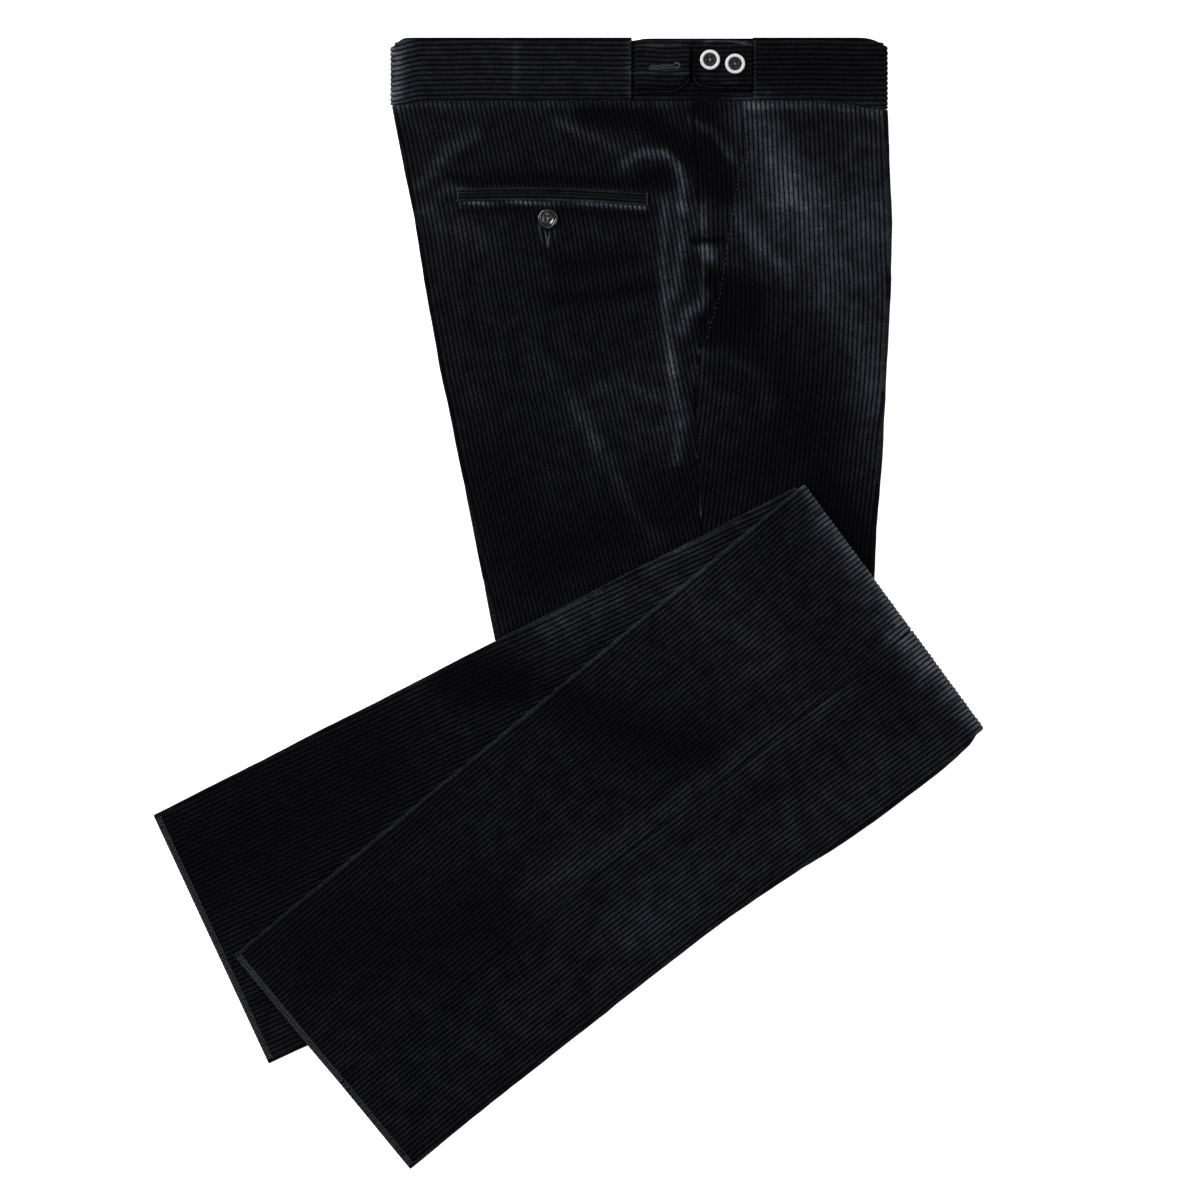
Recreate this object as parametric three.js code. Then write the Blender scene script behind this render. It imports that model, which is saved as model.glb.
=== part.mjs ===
// Corduroy trousers for a man, pressed along their creases and laid with the right side up.
// The thigh lies on the floor, the legs turn up at a hidden fold and back at a visible one,
// so the lower legs cross the thigh: right leg on top, left leg fanned out under it.
// Units are mm, +Z is up, the floor is Z = 0, +Y points to the waistband.
import * as THREE from "three";

const CLOTH = 1.5; // one layer of corduroy
const LINER = 1.6; // one hidden layer
const GAP = 0.3; // air between pieces
const PAIR = LINER + GAP + CLOTH; // a pressed leg: hidden layer below, shown layer above
const HIP_CORE = 7.0; // hidden layers of the hip, with pocket bags
const HIP_TOP = HIP_CORE + GAP + CLOTH; // outer face of the hip panels
const KNEE_LIFT = 8.3; // what the piece between the two folds adds below the lower legs
const WAIST = { bottom: 391, top: 440, band: 2.6 }; // heights of the band on the page, its cloth

const clamp = (t) => Math.min(1, Math.max(0, t));
const ease = (t) => clamp(t) ** 2 * (3 - 2 * clamp(t));
const mix = (a, b, t) => a + (b - a) * t;
const mixXY = (a, b, t) => [mix(a[0], b[0], t), mix(a[1], b[1], t)];
const span = (n, from, to) => Array.from({ length: n + 1 }, (_, k) => mix(from, to, k / n));

// Reads a column of a table at a value of its first column, straight between the rows.
function read(table, key, at) {
  const by = Object.keys(table[0])[0];
  const up = table[0][by] < table.at(-1)[by] ? table : [...table].reverse();
  let k = up.findIndex((row) => row[by] >= at);
  if (k <= 0) k = k === 0 ? 1 : up.length - 1;
  const [p, q] = [up[k - 1], up[k]];
  return mix(p[key], q[key], (at - p[by]) / (q[by] - p[by]));
}

// Hip and thigh at heights y: back crease, side seam, front crease.
const HIP = [
  { y: 440, back: -137.3, seam: 96.0, front: 248.0 },
  { y: 391, back: -137.3, seam: 96.7, front: 248.2 },
  { y: 345, back: -128.7, seam: 99.5, front: 249.6 },
  { y: 299, back: -118.7, seam: 103.0, front: 251.7 },
  { y: 252, back: -111.5, seam: 104.5, front: 251.2 },
  { y: 205, back: -103.0, seam: 104.5, front: 248.8 },
  { y: 182, back: -99.1, seam: 101.0, front: 247.3 },
  { y: 158, back: -93.6, seam: 99.2, front: 246.5 },
  { y: 111, back: -84.2, seam: 101.4, front: 244.1 },
  { y: 65, back: -74.9, seam: 103.2, front: 240.2 },
  { y: 18, back: -65.5, seam: 109.0, front: 237.9 },
  { y: -37, back: -54.6, seam: 114.7, front: 234.4 },
  { y: -163, back: -30.0, seam: 124.0, front: 225.4 },
];

// Slant pocket opening: the edge of the front panel at heights y.
const SLANT = [
  { y: 391, edge: 135.7 },
  { y: 372, edge: 135.4 },
  { y: 348, edge: 138.1 },
  { y: 333, edge: 130.3 },
  { y: 317, edge: 127.9 },
  { y: 288, edge: 123.2 },
  { y: 240, edge: 115.9 },
  { y: 205, edge: 105.1 },
];

// Ends of the hidden fold at the bottom of the thigh, and of the visible fold of the lower legs.
const HIDDEN_FOLD = { back: [-54.6, -36.7], front: [226.2, -163.0] };
const RIGHT_LEG = {
  foldBack: [183.3, 92.0], foldFront: [324.6, -99.0],
  hemBack: [-259.7, -274.6], hemFront: [-123.2, -440.7],
  seam: 0.59,
};
const LEFT_LEG = {
  foldBack: [177.1, 88.8], foldFront: [312.0, -102.5],
  hemBack: [-322.8, -166.0], hemFront: [-233.4, -358.4],
  seam: 0.543,
};
// How far the right leg's front crease stands out of the straight line, from fold (0) to hem (1).
const FRONT_BOW = [
  { at: 0, out: 0 }, { at: 0.04, out: 2.6 }, { at: 0.11, out: 2.8 }, { at: 0.18, out: 2.5 },
  { at: 0.25, out: 1.4 }, { at: 0.32, out: -1.5 }, { at: 0.39, out: -3.8 }, { at: 0.46, out: -5.2 },
  { at: 0.6, out: -4.6 }, { at: 0.74, out: -3.6 }, { at: 0.88, out: -2.4 }, { at: 1, out: 0 },
];
const STRAIGHT = [{ at: 0, out: 0 }, { at: 1, out: 0 }];

// Outline of the piece between the two folds.
const KNEE = [[-46, -40.5], [174, 79], [309, -102], [226, -158]];

// Height of the pressed-in folds over the flat hip: soft ridges along a line, and round swells.
const RIDGES = [
  {
    high: 2.4, wide: 8,
    line: [
      [-8, 372], [24, 362], [46, 352], [62, 350], [76, 347], [85, 336], [88, 314],
      [87, 282], [82, 240], [79, 213], [83, 146], [88, 105],
    ],
  },
  { high: 1.8, wide: 9, line: [[-72, 364], [-90, 352], [-102, 338], [-112, 322]] },
  { high: 1.5, wide: 11, line: [[-27, 192], [2, 160], [22, 126], [63, 52]] },
  { high: 1.5, wide: 18, line: [[160, 372], [173, 310], [200, 240]] },
  { high: 1.3, wide: 8, line: [[104, 306], [111, 284], [107, 256], [98, 230], [90, 212]] },
];
const SWELLS = [
  { high: -1.3, x: 68, y: 329, wide: 9, tall: 8 },
  { high: 1.4, x: 44, y: 178, wide: 24, tall: 26 },
  { high: -1.2, x: 131, y: 231, wide: 18, tall: 27 },
  { high: 1.2, x: -60, y: 190, wide: 30, tall: 60 },
];

function toLine(line, x, y) {
  let best = Infinity;
  for (let k = 1; k < line.length; k++) {
    const [ax, ay] = line[k - 1], [bx, by] = line[k];
    const t = clamp(((x - ax) * (bx - ax) + (y - ay) * (by - ay)) / ((bx - ax) ** 2 + (by - ay) ** 2));
    best = Math.min(best, Math.hypot(x - mix(ax, bx, t), y - mix(ay, by, t)));
  }
  return best;
}

// Distance to a closed outline, negative inside it.
function toOutline(outline, x, y) {
  let inside = false;
  outline.forEach(([ax, ay], k) => {
    const [bx, by] = outline[(k + 1) % outline.length];
    if (ay > y !== by > y && x < mix(ax, bx, (y - ay) / (by - ay))) inside = !inside;
  });
  const d = toLine([...outline, outline[0]], x, y);
  return inside ? -d : d;
}

const THIGH = [
  ...HIP.slice(0, -2).map((row) => [row.back, row.y]), HIDDEN_FOLD.back,
  HIDDEN_FOLD.front, ...HIP.slice(0, -1).reverse().map((row) => [row.front, row.y]),
];
const LEFT_OUTLINE = [[179, 92], [322, -100], LEFT_LEG.hemFront, LEFT_LEG.hemBack];
const LOWER_LEGS = [
  LEFT_LEG.hemBack, RIGHT_LEG.foldBack, RIGHT_LEG.foldFront, RIGHT_LEG.hemFront, LEFT_LEG.hemFront,
];

// 1 over an outline and `near` mm round it, then down to 0 over `reach` mm.
const cover = (outline, near, reach) => (x, y) => 1 - ease((toOutline(outline, x, y) - near) / reach);
const overThigh = cover(THIGH, 12, 76);
const overKnee = cover(KNEE, 10, 84);
const overLeft = cover(LEFT_OUTLINE, 5, 40);

function relief(x, y) {
  let z = 0;
  for (const r of RIDGES) z += r.high * Math.exp(-((toLine(r.line, x, y) / r.wide) ** 2));
  for (const s of SWELLS) z += s.high * Math.exp(-(((x - s.x) / s.wide) ** 2) - ((y - s.y) / s.tall) ** 2);
  // Flat at the waist seam and under the lower legs.
  return z * ease((WAIST.bottom - 3 - y) / 26) * ease((toOutline(LOWER_LEGS, x, y) - 4) / 40);
}

const thighLift = (x, y) => (HIP_TOP + GAP) * overThigh(x, y);
// The layers part a little where they bend down to the floor.
const bend = (d) => ease((d + 15) / 20) * (1 - ease((d - 92) / 30));
const slack = (x, y) => Math.max(bend(toOutline(THIGH, x, y)), bend(toOutline(KNEE, x, y)));
const leftLift = (x, y) => thighLift(x, y) + (KNEE_LIFT + slack(x, y)) * overKnee(x, y);
const rightLift = (x, y) => leftLift(x, y) + (PAIR + GAP + slack(x, y)) * overLeft(x, y);

const object = new THREE.Group();
object.name = "folded_trousers";

function addMesh(name, points, faces) {
  let volume = 0;
  for (const [a, b, c] of faces) {
    const [p, q, r] = [points[a], points[b], points[c]];
    volume += p[0] * (q[1] * r[2] - q[2] * r[1]) + p[1] * (q[2] * r[0] - q[0] * r[2])
      + p[2] * (q[0] * r[1] - q[1] * r[0]);
  }
  const index = volume > 0 ? faces.flat() : faces.flatMap(([a, b, c]) => [a, c, b]);
  const geometry = new THREE.BufferGeometry();
  geometry.setAttribute("position", new THREE.Float32BufferAttribute(points.flat(), 3));
  geometry.setIndex(index);
  const mesh = new THREE.Mesh(geometry);
  mesh.name = name;
  object.add(mesh);
}

// Numbers of the grid points round the rim of a grid, in order.
function rimOf(cols, rows) {
  const at = (i, j) => j * (cols + 1) + i;
  const count = (n, call) => Array.from({ length: n }, (_, k) => call(k));
  return [
    ...count(cols, (k) => at(k, 0)), ...count(rows, (k) => at(cols, k)),
    ...count(cols, (k) => at(cols - k, rows)), ...count(rows, (k) => at(0, rows - k)),
  ];
}
function gridFaces(cols, rows, first, turned) {
  const faces = [];
  for (let j = 0; j < rows; j++)
    for (let i = 0; i < cols; i++) {
      const a = first + j * (cols + 1) + i, b = a + 1, c = b + cols + 1, d = a + cols + 1;
      faces.push(...(turned ? [[a, c, b], [a, d, c]] : [[a, b, c], [a, c, d]]));
    }
  return faces;
}
function stitchRims(upper, lower) {
  return upper.flatMap((a, k) => {
    const b = upper[(k + 1) % upper.length], c = lower[(k + 1) % lower.length], d = lower[k];
    return [[a, c, b], [a, d, c]];
  });
}

// A closed sheet: face(i, j) gives [outer point, inner point] of one place on the cloth.
function sheet(name, cols, rows, face) {
  const outer = [], inner = [];
  for (let j = 0; j <= rows; j++)
    for (let i = 0; i <= cols; i++) {
      const [out, back] = face(i, j);
      outer.push(out);
      inner.push(back);
    }
  const rim = rimOf(cols, rows);
  addMesh(name, [...outer, ...inner], [
    ...gridFaces(cols, rows, 0, false), ...gridFaces(cols, rows, outer.length, true),
    ...stitchRims(rim, rim.map((k) => k + outer.length)),
  ]);
}

// A rounded solid of hidden layers: a top and a bottom over one grid, and rings round the side.
// Each ring stands `out` mm outside the top's rim, at a share `down` of the height.
function layers(name, cols, rows, plan, top, bottom, rings, floor = false) {
  const flat = [];
  for (let j = 0; j <= rows; j++) for (let i = 0; i <= cols; i++) flat.push(plan(i, j));
  const rim = rimOf(cols, rows);
  const loop = rim.map((k) => flat[k]);
  const area = loop.reduce((sum, p, k) => {
    const q = loop[(k + 1) % loop.length];
    return sum + p[0] * q[1] - q[0] * p[1];
  }, 0);
  const outward = loop.map((p, k) => {
    const before = loop[(k + loop.length - 1) % loop.length], after = loop[(k + 1) % loop.length];
    const [dx, dy] = [after[0] - before[0], after[1] - before[1]];
    const s = Math.sign(area) / Math.hypot(dx, dy);
    return [dy * s, -dx * s];
  });
  const points = flat.map(([x, y]) => [x, y, top(x, y)]);
  const faces = gridFaces(cols, rows, 0, false);
  let upper = rim;
  for (const ring of rings) {
    const lower = loop.map(([x, y], k) => {
      const [px, py] = [x + outward[k][0] * ring.out, y + outward[k][1] * ring.out];
      points.push([px, py, mix(top(x, y), bottom(px, py), ring.down)]);
      return points.length - 1;
    });
    faces.push(...stitchRims(upper, lower));
    upper = lower;
  }
  if (floor) {
    const ring = upper.map((k) => new THREE.Vector2(points[k][0], points[k][1]));
    const turn = Math.sign(area);
    for (const [a, b, c] of THREE.ShapeUtils.triangulateShape(ring, []))
      faces.push(turn > 0 ? [upper[a], upper[c], upper[b]] : [upper[a], upper[b], upper[c]]);
  } else {
    const first = points.length;
    points.push(...flat.map(([x, y]) => [x, y, bottom(x, y)]));
    faces.push(...stitchRims(upper, rim.map((k) => first + k)), ...gridFaces(cols, rows, first, true));
  }
  addMesh(name, points, faces);
}

// The cut of a pressed crease: from the turned-under end over the fold to the flat, as
// distances from the crease (into, under) for the outer and the inner face.
function crease(radius, steps, cloth = CLOTH) {
  return span(steps, 180, 0).map((degrees) => {
    const [s, c] = [Math.sin((degrees * Math.PI) / 180), Math.cos((degrees * Math.PI) / 180)];
    return [radius, radius - cloth].map((r) => ({ into: radius - r * s, under: radius - r * c }));
  });
}

// Hip and thigh

const waistY = (x) => WAIST.bottom - 4 * ease((-108 - x) / 28) - 7 * ease((x - 196) / 50);
const hipPoint = (edge, share, v) => {
  const low = mixXY(HIDDEN_FOLD.back, HIDDEN_FOLD.front, share)[1] + 7;
  const x0 = read(HIP, edge, WAIST.bottom);
  const y = mix(waistY(x0) - GAP, low, v);
  return [read(HIP, edge, y), y];
};
const FACING = [
  [97, 400], ...SLANT.map((row) => [row.edge + 9, row.y]),
  [104, 200], [104.5, 252], [103, 299], [99.5, 345],
];
const hipZ = (x, y) => HIP_TOP + relief(x, y);
// The front panel stands up a little along the pocket opening.
const SLANT_LINE = SLANT.map((row) => [row.edge, row.y]);
const liftAtSlant = (x, y) => 0.9 * Math.exp(-((toLine(SLANT_LINE, x, y) / 9) ** 2))
  * ease((386 - y) / 20) * ease((y - 205) / 30);

// Rows of the thigh stand closer where its folds are.
const HIP_ROWS = [...span(16, 0, 0.52), ...span(6, 0.52, 1).slice(1)];
const CREASE_HIP = crease(2.1, 3);

// One row of a panel from its crease to its seam: the crease's cut, then flat cloth.
function pressedRow(edge, seam, roll, flat) {
  const long = Math.hypot(seam[0] - edge[0], seam[1] - edge[1]);
  const toward = [(seam[0] - edge[0]) / long, (seam[1] - edge[1]) / long];
  const start = roll.at(-1)[0].into;
  const flatPart = span(flat, start, long).slice(1)
    .map((into) => [{ into, under: 0 }, { into, under: CLOTH }]);
  const place = ({ into, under }) => [edge[0] + into * toward[0], edge[1] + into * toward[1], under];
  return [...roll, ...flatPart].map((pair) => pair.map(place));
}

const BACK_FLAT = 15;
sheet("back_panel_thigh", BACK_FLAT + 3, HIP_ROWS.length - 1, (i, j) => {
  const v = HIP_ROWS[j];
  const seam = hipPoint("seam", 0.56, v);
  const row = pressedRow(hipPoint("back", 0, v), [seam[0] - GAP, seam[1]], CREASE_HIP, BACK_FLAT);
  return row[i].map(([x, y, under]) => [x, y, hipZ(x, y) - under]);
});

const slantOrSeam = (v) => {
  const [x, y] = hipPoint("seam", 0.56, v);
  return y > 205 ? [Math.max(x, read(SLANT, "edge", Math.min(y, 391))), y] : [x, y];
};
const FRONT_FLAT = 11;
sheet("front_panel_thigh", FRONT_FLAT + 3, HIP_ROWS.length - 1, (i, j) => {
  const v = HIP_ROWS[j];
  const row = pressedRow(hipPoint("front", 1, v), slantOrSeam(v), CREASE_HIP, FRONT_FLAT);
  return row[i].map(([x, y, under]) => [x, y, hipZ(x, y) + liftAtSlant(x, y) - under]);
});

sheet("side_pocket_facing", 3, 14, (i, j) => {
  const y = mix(waistY(110) - GAP, 220, j / 14);
  const seam = read(HIP, "seam", y);
  const x = mix(seam, read(SLANT, "edge", y) + 7, i / 3);
  const z = hipZ(x, y) - 1.9 * ease((x - seam + 2) / 5);
  return [[x, y, z], [x, y, z - CLOTH + 0.3]];
});

const HIP_INSET = 4.6;
const hipCoreTop = (x, y) => {
  const pocket = 2.3 * (1 - ease((toOutline(FACING, x, y) - 8) / 26)) * ease((396 - y) / 8);
  let hollow = 0;
  for (const s of SWELLS.filter((swell) => swell.high < 0))
    hollow += 1.3 * s.high * Math.exp(-(((x - s.x) / s.wide / 2) ** 2) - ((y - s.y) / s.tall / 2) ** 2);
  return HIP_CORE + 0.25 * Math.max(0, relief(x, y)) + hollow - pocket;
};
layers("folded_layers_hip", 14, 26, (i, j) => {
  const v = j / 26;
  const top = WAIST.top - 1.5 - HIP_INSET;
  const place = (edge, share, inset) => {
    const low = mixXY(HIDDEN_FOLD.back, HIDDEN_FOLD.front, share)[1] + HIP_INSET;
    const y = mix(top, low, v);
    return [read(HIP, edge, y) + inset, y];
  };
  const [back, front] = [place("back", 0, HIP_INSET), place("front", 1, -HIP_INSET)];
  return mixXY(back, front, i / 14);
}, hipCoreTop, () => 0, [
  { out: 0, down: 0.43 }, { out: 3.0, down: 0.48 }, { out: 3.9, down: 0.64 },
  { out: 3.9, down: 0.8 }, { out: 2.6, down: 1 },
], true);

// Hip pocket: two jets and a button

const JETS = { left: -86.6, right: 62.4, y: 316.4, drop: -3.6, arch: 2.4, tall: 5.0, thick: 1.1 };
const jetLine = (x) => {
  const share = clamp((x - JETS.left) / (JETS.right - JETS.left));
  return JETS.y + JETS.drop * share + JETS.arch * Math.sin(Math.PI * share);
};
for (const [name, side] of [["pocket_jet_upper", 1], ["pocket_jet_lower", -1]]) {
  const across = [0, 0.18, 0.82, 1];
  sheet(name, 16, 3, (i, j) => {
    const x = mix(JETS.left, JETS.right, i / 16);
    const y = jetLine(x) + side * (0.15 + across[j] * JETS.tall);
    const z = hipZ(x, y) + GAP + 0.1;
    const dome = j === 0 || j === 3 ? 0.55 : 1;
    return [[x, y, z + JETS.thick * dome], [x, y, z]];
  });
}

// Waistband

const bandZ = HIP_CORE + GAP + WAIST.band;
const CREASE_BAND = crease(2.75, 3, WAIST.band);
// The seam side of a band follows the waist seam; its top edge is turned over and round.
const BAND_ROWS = [0, 0.04, 0.5, 0.965, 1];
// The band's upper corners are round, over 13 mm at centre back and 22 mm at the front.
const corner = (share, drop) => drop * (1 - Math.sqrt(1 - clamp(share) ** 2));
const bandTop = (x) => WAIST.top - corner((-124 - x) / 13.7, 17) - corner((x - 226) / 22.4, 12);
function bandPoint(x, share, under) {
  const soft = share === 1 ? 1.1 : share === 0 ? 0.5 : 0;
  const outer = under < WAIST.band / 2;
  return [x, mix(waistY(x) + GAP / 2, bandTop(x), share), bandZ - under - (outer ? soft : 0)];
}
function band(name, edge, seam, flat) {
  const row = pressedRow([edge, 0], [seam, 0], CREASE_BAND, flat)
    .map(([outer, inner]) => [outer, inner[2] === CLOTH ? [inner[0], 0, WAIST.band] : inner]);
  sheet(name, 3 + flat, BAND_ROWS.length - 1,
    (i, j) => row[i].map(([x, , under]) => bandPoint(x, BAND_ROWS[j], under)));
}
band("waistband_back", -137.6, 49.7, 10);
band("waistband_front", 248.3, 143.8, 7);

// Side adjuster: elastic between the band parts, a buttonhole tab and a button tab on it

const ELASTIC = { left: 50.0, right: 143.5, top: WAIST.top - 1.2, thick: 1.4 };
const elasticTop = HIP_CORE + GAP + ELASTIC.thick;
sheet("adjuster_elastic", 6, 4, (i, j) => {
  const x = mix(ELASTIC.left, ELASTIC.right, i / 6);
  const y = mix(waistY(x) + GAP * 0.5, ELASTIC.top, BAND_ROWS[j]);
  const soft = j === 4 ? 0.5 : 0;
  return [[x, y, elasticTop - soft], [x, y, HIP_CORE + GAP]];
});
const TAB = 1.9; // cloth of a tab, folded once
// Tabs: bottom and top edge at stations along x.
const HOLE_TAB = [
  { x: 52.8, low: 397.2, high: 434.6 }, { x: 66, low: 397.4, high: 434.8 },
  { x: 80, low: 398.0, high: 434.9 }, { x: 84.5, low: 398.6, high: 434.8 },
  { x: 90, low: 402.6, high: 434.4 }, { x: 94.6, low: 408.0, high: 433.4 },
];
const BUTTON_TAB = [
  { x: 97.8, low: 409.5, high: 430.0 }, { x: 99.2, low: 405.4, high: 434.2 },
  { x: 102.5, low: 402.4, high: 436.8 }, { x: 110, low: 401.2, high: 437.4 },
  { x: 127, low: 400.6, high: 436.2 }, { x: 143.2, low: 400.4, high: 434.0 },
];
for (const [name, outline, bulge] of [
  ["adjuster_tab", HOLE_TAB, 0.9], ["adjuster_button_tab", BUTTON_TAB, 0.5],
]) {
  const shares = [0, 0.05, 0.3, 0.7, 0.95, 1];
  sheet(name, outline.length - 1, shares.length - 1, (i, j) => {
    const { x, low, high } = outline[i];
    const y = mix(low, high, shares[j]);
    const rim = j === 0 || j === 5 || i === 0 || i === outline.length - 1;
    const z = elasticTop + GAP;
    const swell = bulge * Math.sin(Math.PI * shares[j]);
    return [[x, y, z + TAB - (rim ? 0.7 : 0) + (rim ? 0 : swell)], [x, y, z]];
  });
}

// Buttons

// A turned ring: its cut is a closed line of radius and height.
function turned(name, place, profile) {
  const geometry = new THREE.LatheGeometry(profile.map(([r, z]) => new THREE.Vector2(r, z)), 20);
  geometry.rotateX(Math.PI / 2);
  geometry.translate(...place);
  const position = geometry.attributes.position;
  const points = [], faces = [], seen = new Map();
  const numbers = [];
  for (let k = 0; k < position.count; k++) {
    const p = [position.getX(k), position.getY(k), position.getZ(k)];
    const key = p.map((value) => Math.round(value * 1e4)).join(",");
    if (!seen.has(key)) seen.set(key, points.push(p) - 1);
    numbers.push(seen.get(key));
  }
  const index = geometry.index.array;
  for (let k = 0; k < index.length; k += 3) {
    const face = [numbers[index[k]], numbers[index[k + 1]], numbers[index[k + 2]]];
    if (new Set(face).size === 3) faces.push(face);
  }
  addMesh(name, points, faces);
}

// A flat round centre with four sewing holes.
function plate(name, place, radius, thick, hole, apart) {
  const shape = new THREE.Shape();
  shape.absarc(0, 0, radius, 0, Math.PI * 2, false);
  for (const degrees of [45, 135, 225, 315]) {
    const a = (degrees * Math.PI) / 180;
    const path = new THREE.Path();
    path.absarc(apart * Math.cos(a), apart * Math.sin(a), hole, 0, Math.PI * 2, true);
    shape.holes.push(path);
  }
  const cut = { depth: thick, bevelEnabled: false, curveSegments: 7, steps: 1 };
  const geometry = new THREE.ExtrudeGeometry(shape, cut);
  geometry.translate(...place);
  const mesh = new THREE.Mesh(geometry);
  mesh.name = name;
  object.add(mesh);
}

const tabTop = elasticTop + GAP + TAB + 0.55;
const RING = { outer: 8.1, inner: 4.7, thick: 2.2 };
for (const [k, place] of [[110.4, 422.0], [129.9, 418.9]].entries()) {
  const z = tabTop + GAP + 0.5;
  const { outer, inner, thick } = RING;
  turned(`adjuster_button_ring_${k + 1}`, [...place, z], [
    [inner, 0.0], [inner, 1.5], [inner + 0.7, thick], [outer - 1.3, thick],
    [outer - 0.3, 1.5], [outer, 0.8], [outer - 0.6, 0.0], [inner, 0.0],
  ]);
  plate(`adjuster_button_centre_${k + 1}`, [...place, z + 0.1], inner - 0.12, 1.1, 0.85, 1.75);
}
const HIP_BUTTON = [-15.6, 298.7];
const hipButtonZ = hipZ(...HIP_BUTTON) + GAP + 0.5;
turned("pocket_button_rim", [...HIP_BUTTON, hipButtonZ], [
  [5.0, 0.0], [5.0, 1.3], [5.6, 2.3], [6.6, 2.5], [7.5, 1.7], [7.7, 0.9], [7.0, 0.0], [5.0, 0.0],
]);
plate("pocket_button", [...HIP_BUTTON, hipButtonZ + 0.1], 4.88, 1.2, 0.9, 1.75);

// Lower legs

// The four-sided plan of a leg: u runs from back crease to front crease, v from fold to hem.
function legEdges(leg, bow) {
  const d = [leg.hemFront[0] - leg.foldFront[0], leg.hemFront[1] - leg.foldFront[1]];
  const long = Math.hypot(...d);
  const out = [-d[1] / long, d[0] / long];
  const across = [leg.foldFront[0] - leg.foldBack[0], leg.foldFront[1] - leg.foldBack[1]];
  const side = Math.sign(out[0] * across[0] + out[1] * across[1]);
  return (v) => {
    const bend = read(bow, "out", v) * side;
    const [x, y] = mixXY(leg.foldFront, leg.hemFront, v);
    return { back: mixXY(leg.foldBack, leg.hemBack, v), front: [x + out[0] * bend, y + out[1] * bend] };
  };
}
const rightEdges = legEdges(RIGHT_LEG, FRONT_BOW);
const leftEdges = legEdges(LEFT_LEG, STRAIGHT);
const CREASE_LEG = crease(PAIR / 2, 3);

// Places along the right leg: round the fold first (turn in degrees, lip = run under it), then v.
const foldUnit = (() => {
  const { foldBack, foldFront } = RIGHT_LEG;
  const across = [foldFront[0] - foldBack[0], foldFront[1] - foldBack[1]];
  const long = Math.hypot(...across);
  return [-across[1] / long, across[0] / long];
})();
const foldStart = 8.0 / 575; // where the turn begins, as a share of the leg
// Rows across the legs stand closer where they drape off the thigh.
const LEG_ROWS = [...span(18, 0, 0.64), ...span(4, 0.64, 1).slice(1)];
const RIGHT_ROWS = [
  { lip: 11, turn: 180, v: foldStart }, { lip: 0, turn: 180, v: foldStart },
  ...[150, 120, 90, 60, 30].map((turn) => ({ lip: 0, turn, v: foldStart })),
  ...LEG_ROWS.map((v) => ({ lip: 0, turn: 0, v: mix(foldStart, 1, v) })),
];
// One row of half a leg, from the back crease to the seam or from the seam to the front crease.
function halfRow({ back, front }, leg, from, flat) {
  const seam = mixXY(back, front, leg.seam);
  const half = (from === "back" ? -GAP : GAP) / 2;
  const share = half / Math.hypot(front[0] - back[0], front[1] - back[1]);
  const end = [seam[0] + share * (front[0] - back[0]), seam[1] + share * (front[1] - back[1])];
  const row = pressedRow(from === "back" ? back : front, end, CREASE_LEG, flat);
  return from === "back" ? row : row.reverse();
}
function rightFace(from, flat) {
  return (i, j) => {
    const { lip, turn, v } = RIGHT_ROWS[j];
    const a = (turn * Math.PI) / 180;
    return halfRow(rightEdges(v), RIGHT_LEG, from, flat)[i].map(([x, y, under]) => {
      const top = rightLift(x, y) + PAIR;
      const wrap = (top - thighLift(x, y)) / 2;
      const r = wrap - under;
      const out = r * Math.sin(a) - lip;
      const z = turn ? top - wrap + r * Math.cos(a) : top - under;
      return [x + foldUnit[0] * out, y + foldUnit[1] * out, z];
    });
  };
}
sheet("back_panel_calf", 3 + 7, RIGHT_ROWS.length - 1, rightFace("back", 7));
sheet("front_panel_calf", 3 + 5, RIGHT_ROWS.length - 1, rightFace("front", 5));

const leftFace = (from, flat) => (i, j) => halfRow(leftEdges(LEG_ROWS[j]), LEFT_LEG, from, flat)[i]
  .map(([x, y, under]) => [x, y, leftLift(x, y) + PAIR - under]);
sheet("left_back_panel_calf", 3 + 6, LEG_ROWS.length - 1, leftFace("back", 6));
sheet("left_front_panel_calf", 3 + 5, LEG_ROWS.length - 1, leftFace("front", 5));

// Hidden lower layers of both legs, inside the creases, on the same rows and columns.
function legLayer(name, edges, leg, backFlat, frontFlat, lift, start) {
  sheet(name, backFlat + frontFlat, LEG_ROWS.length - 1, (i, j) => {
    const v = mix(start, 1, LEG_ROWS[j]);
    const backRow = halfRow(edges(v), leg, "back", backFlat).slice(3);
    const frontRow = halfRow(edges(v), leg, "front", frontFlat).slice(0, -3);
    const [p, q] = [backRow[Math.min(i, backFlat)][0], frontRow[Math.max(0, i - backFlat)][0]];
    const [x0, y0] = i <= backFlat ? p : q;
    const ends = [backRow[1][0], frontRow.at(-2)[0]];
    const inward = i === 0 ? ends[0] : ends[1];
    const t = i === 0 || i === backFlat + frontFlat ? 0.5 / Math.hypot(inward[0] - x0, inward[1] - y0) : 0;
    const [x, y] = mixXY([x0, y0], inward, t);
    const z = lift(x, y);
    return [[x, y, z + LINER], [x, y, z]];
  });
}
legLayer("folded_layers_right_leg", rightEdges, RIGHT_LEG, 7, 5, rightLift, foldStart);
legLayer("folded_layers_left_leg", leftEdges, LEFT_LEG, 6, 5, leftLift, 0);

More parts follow.
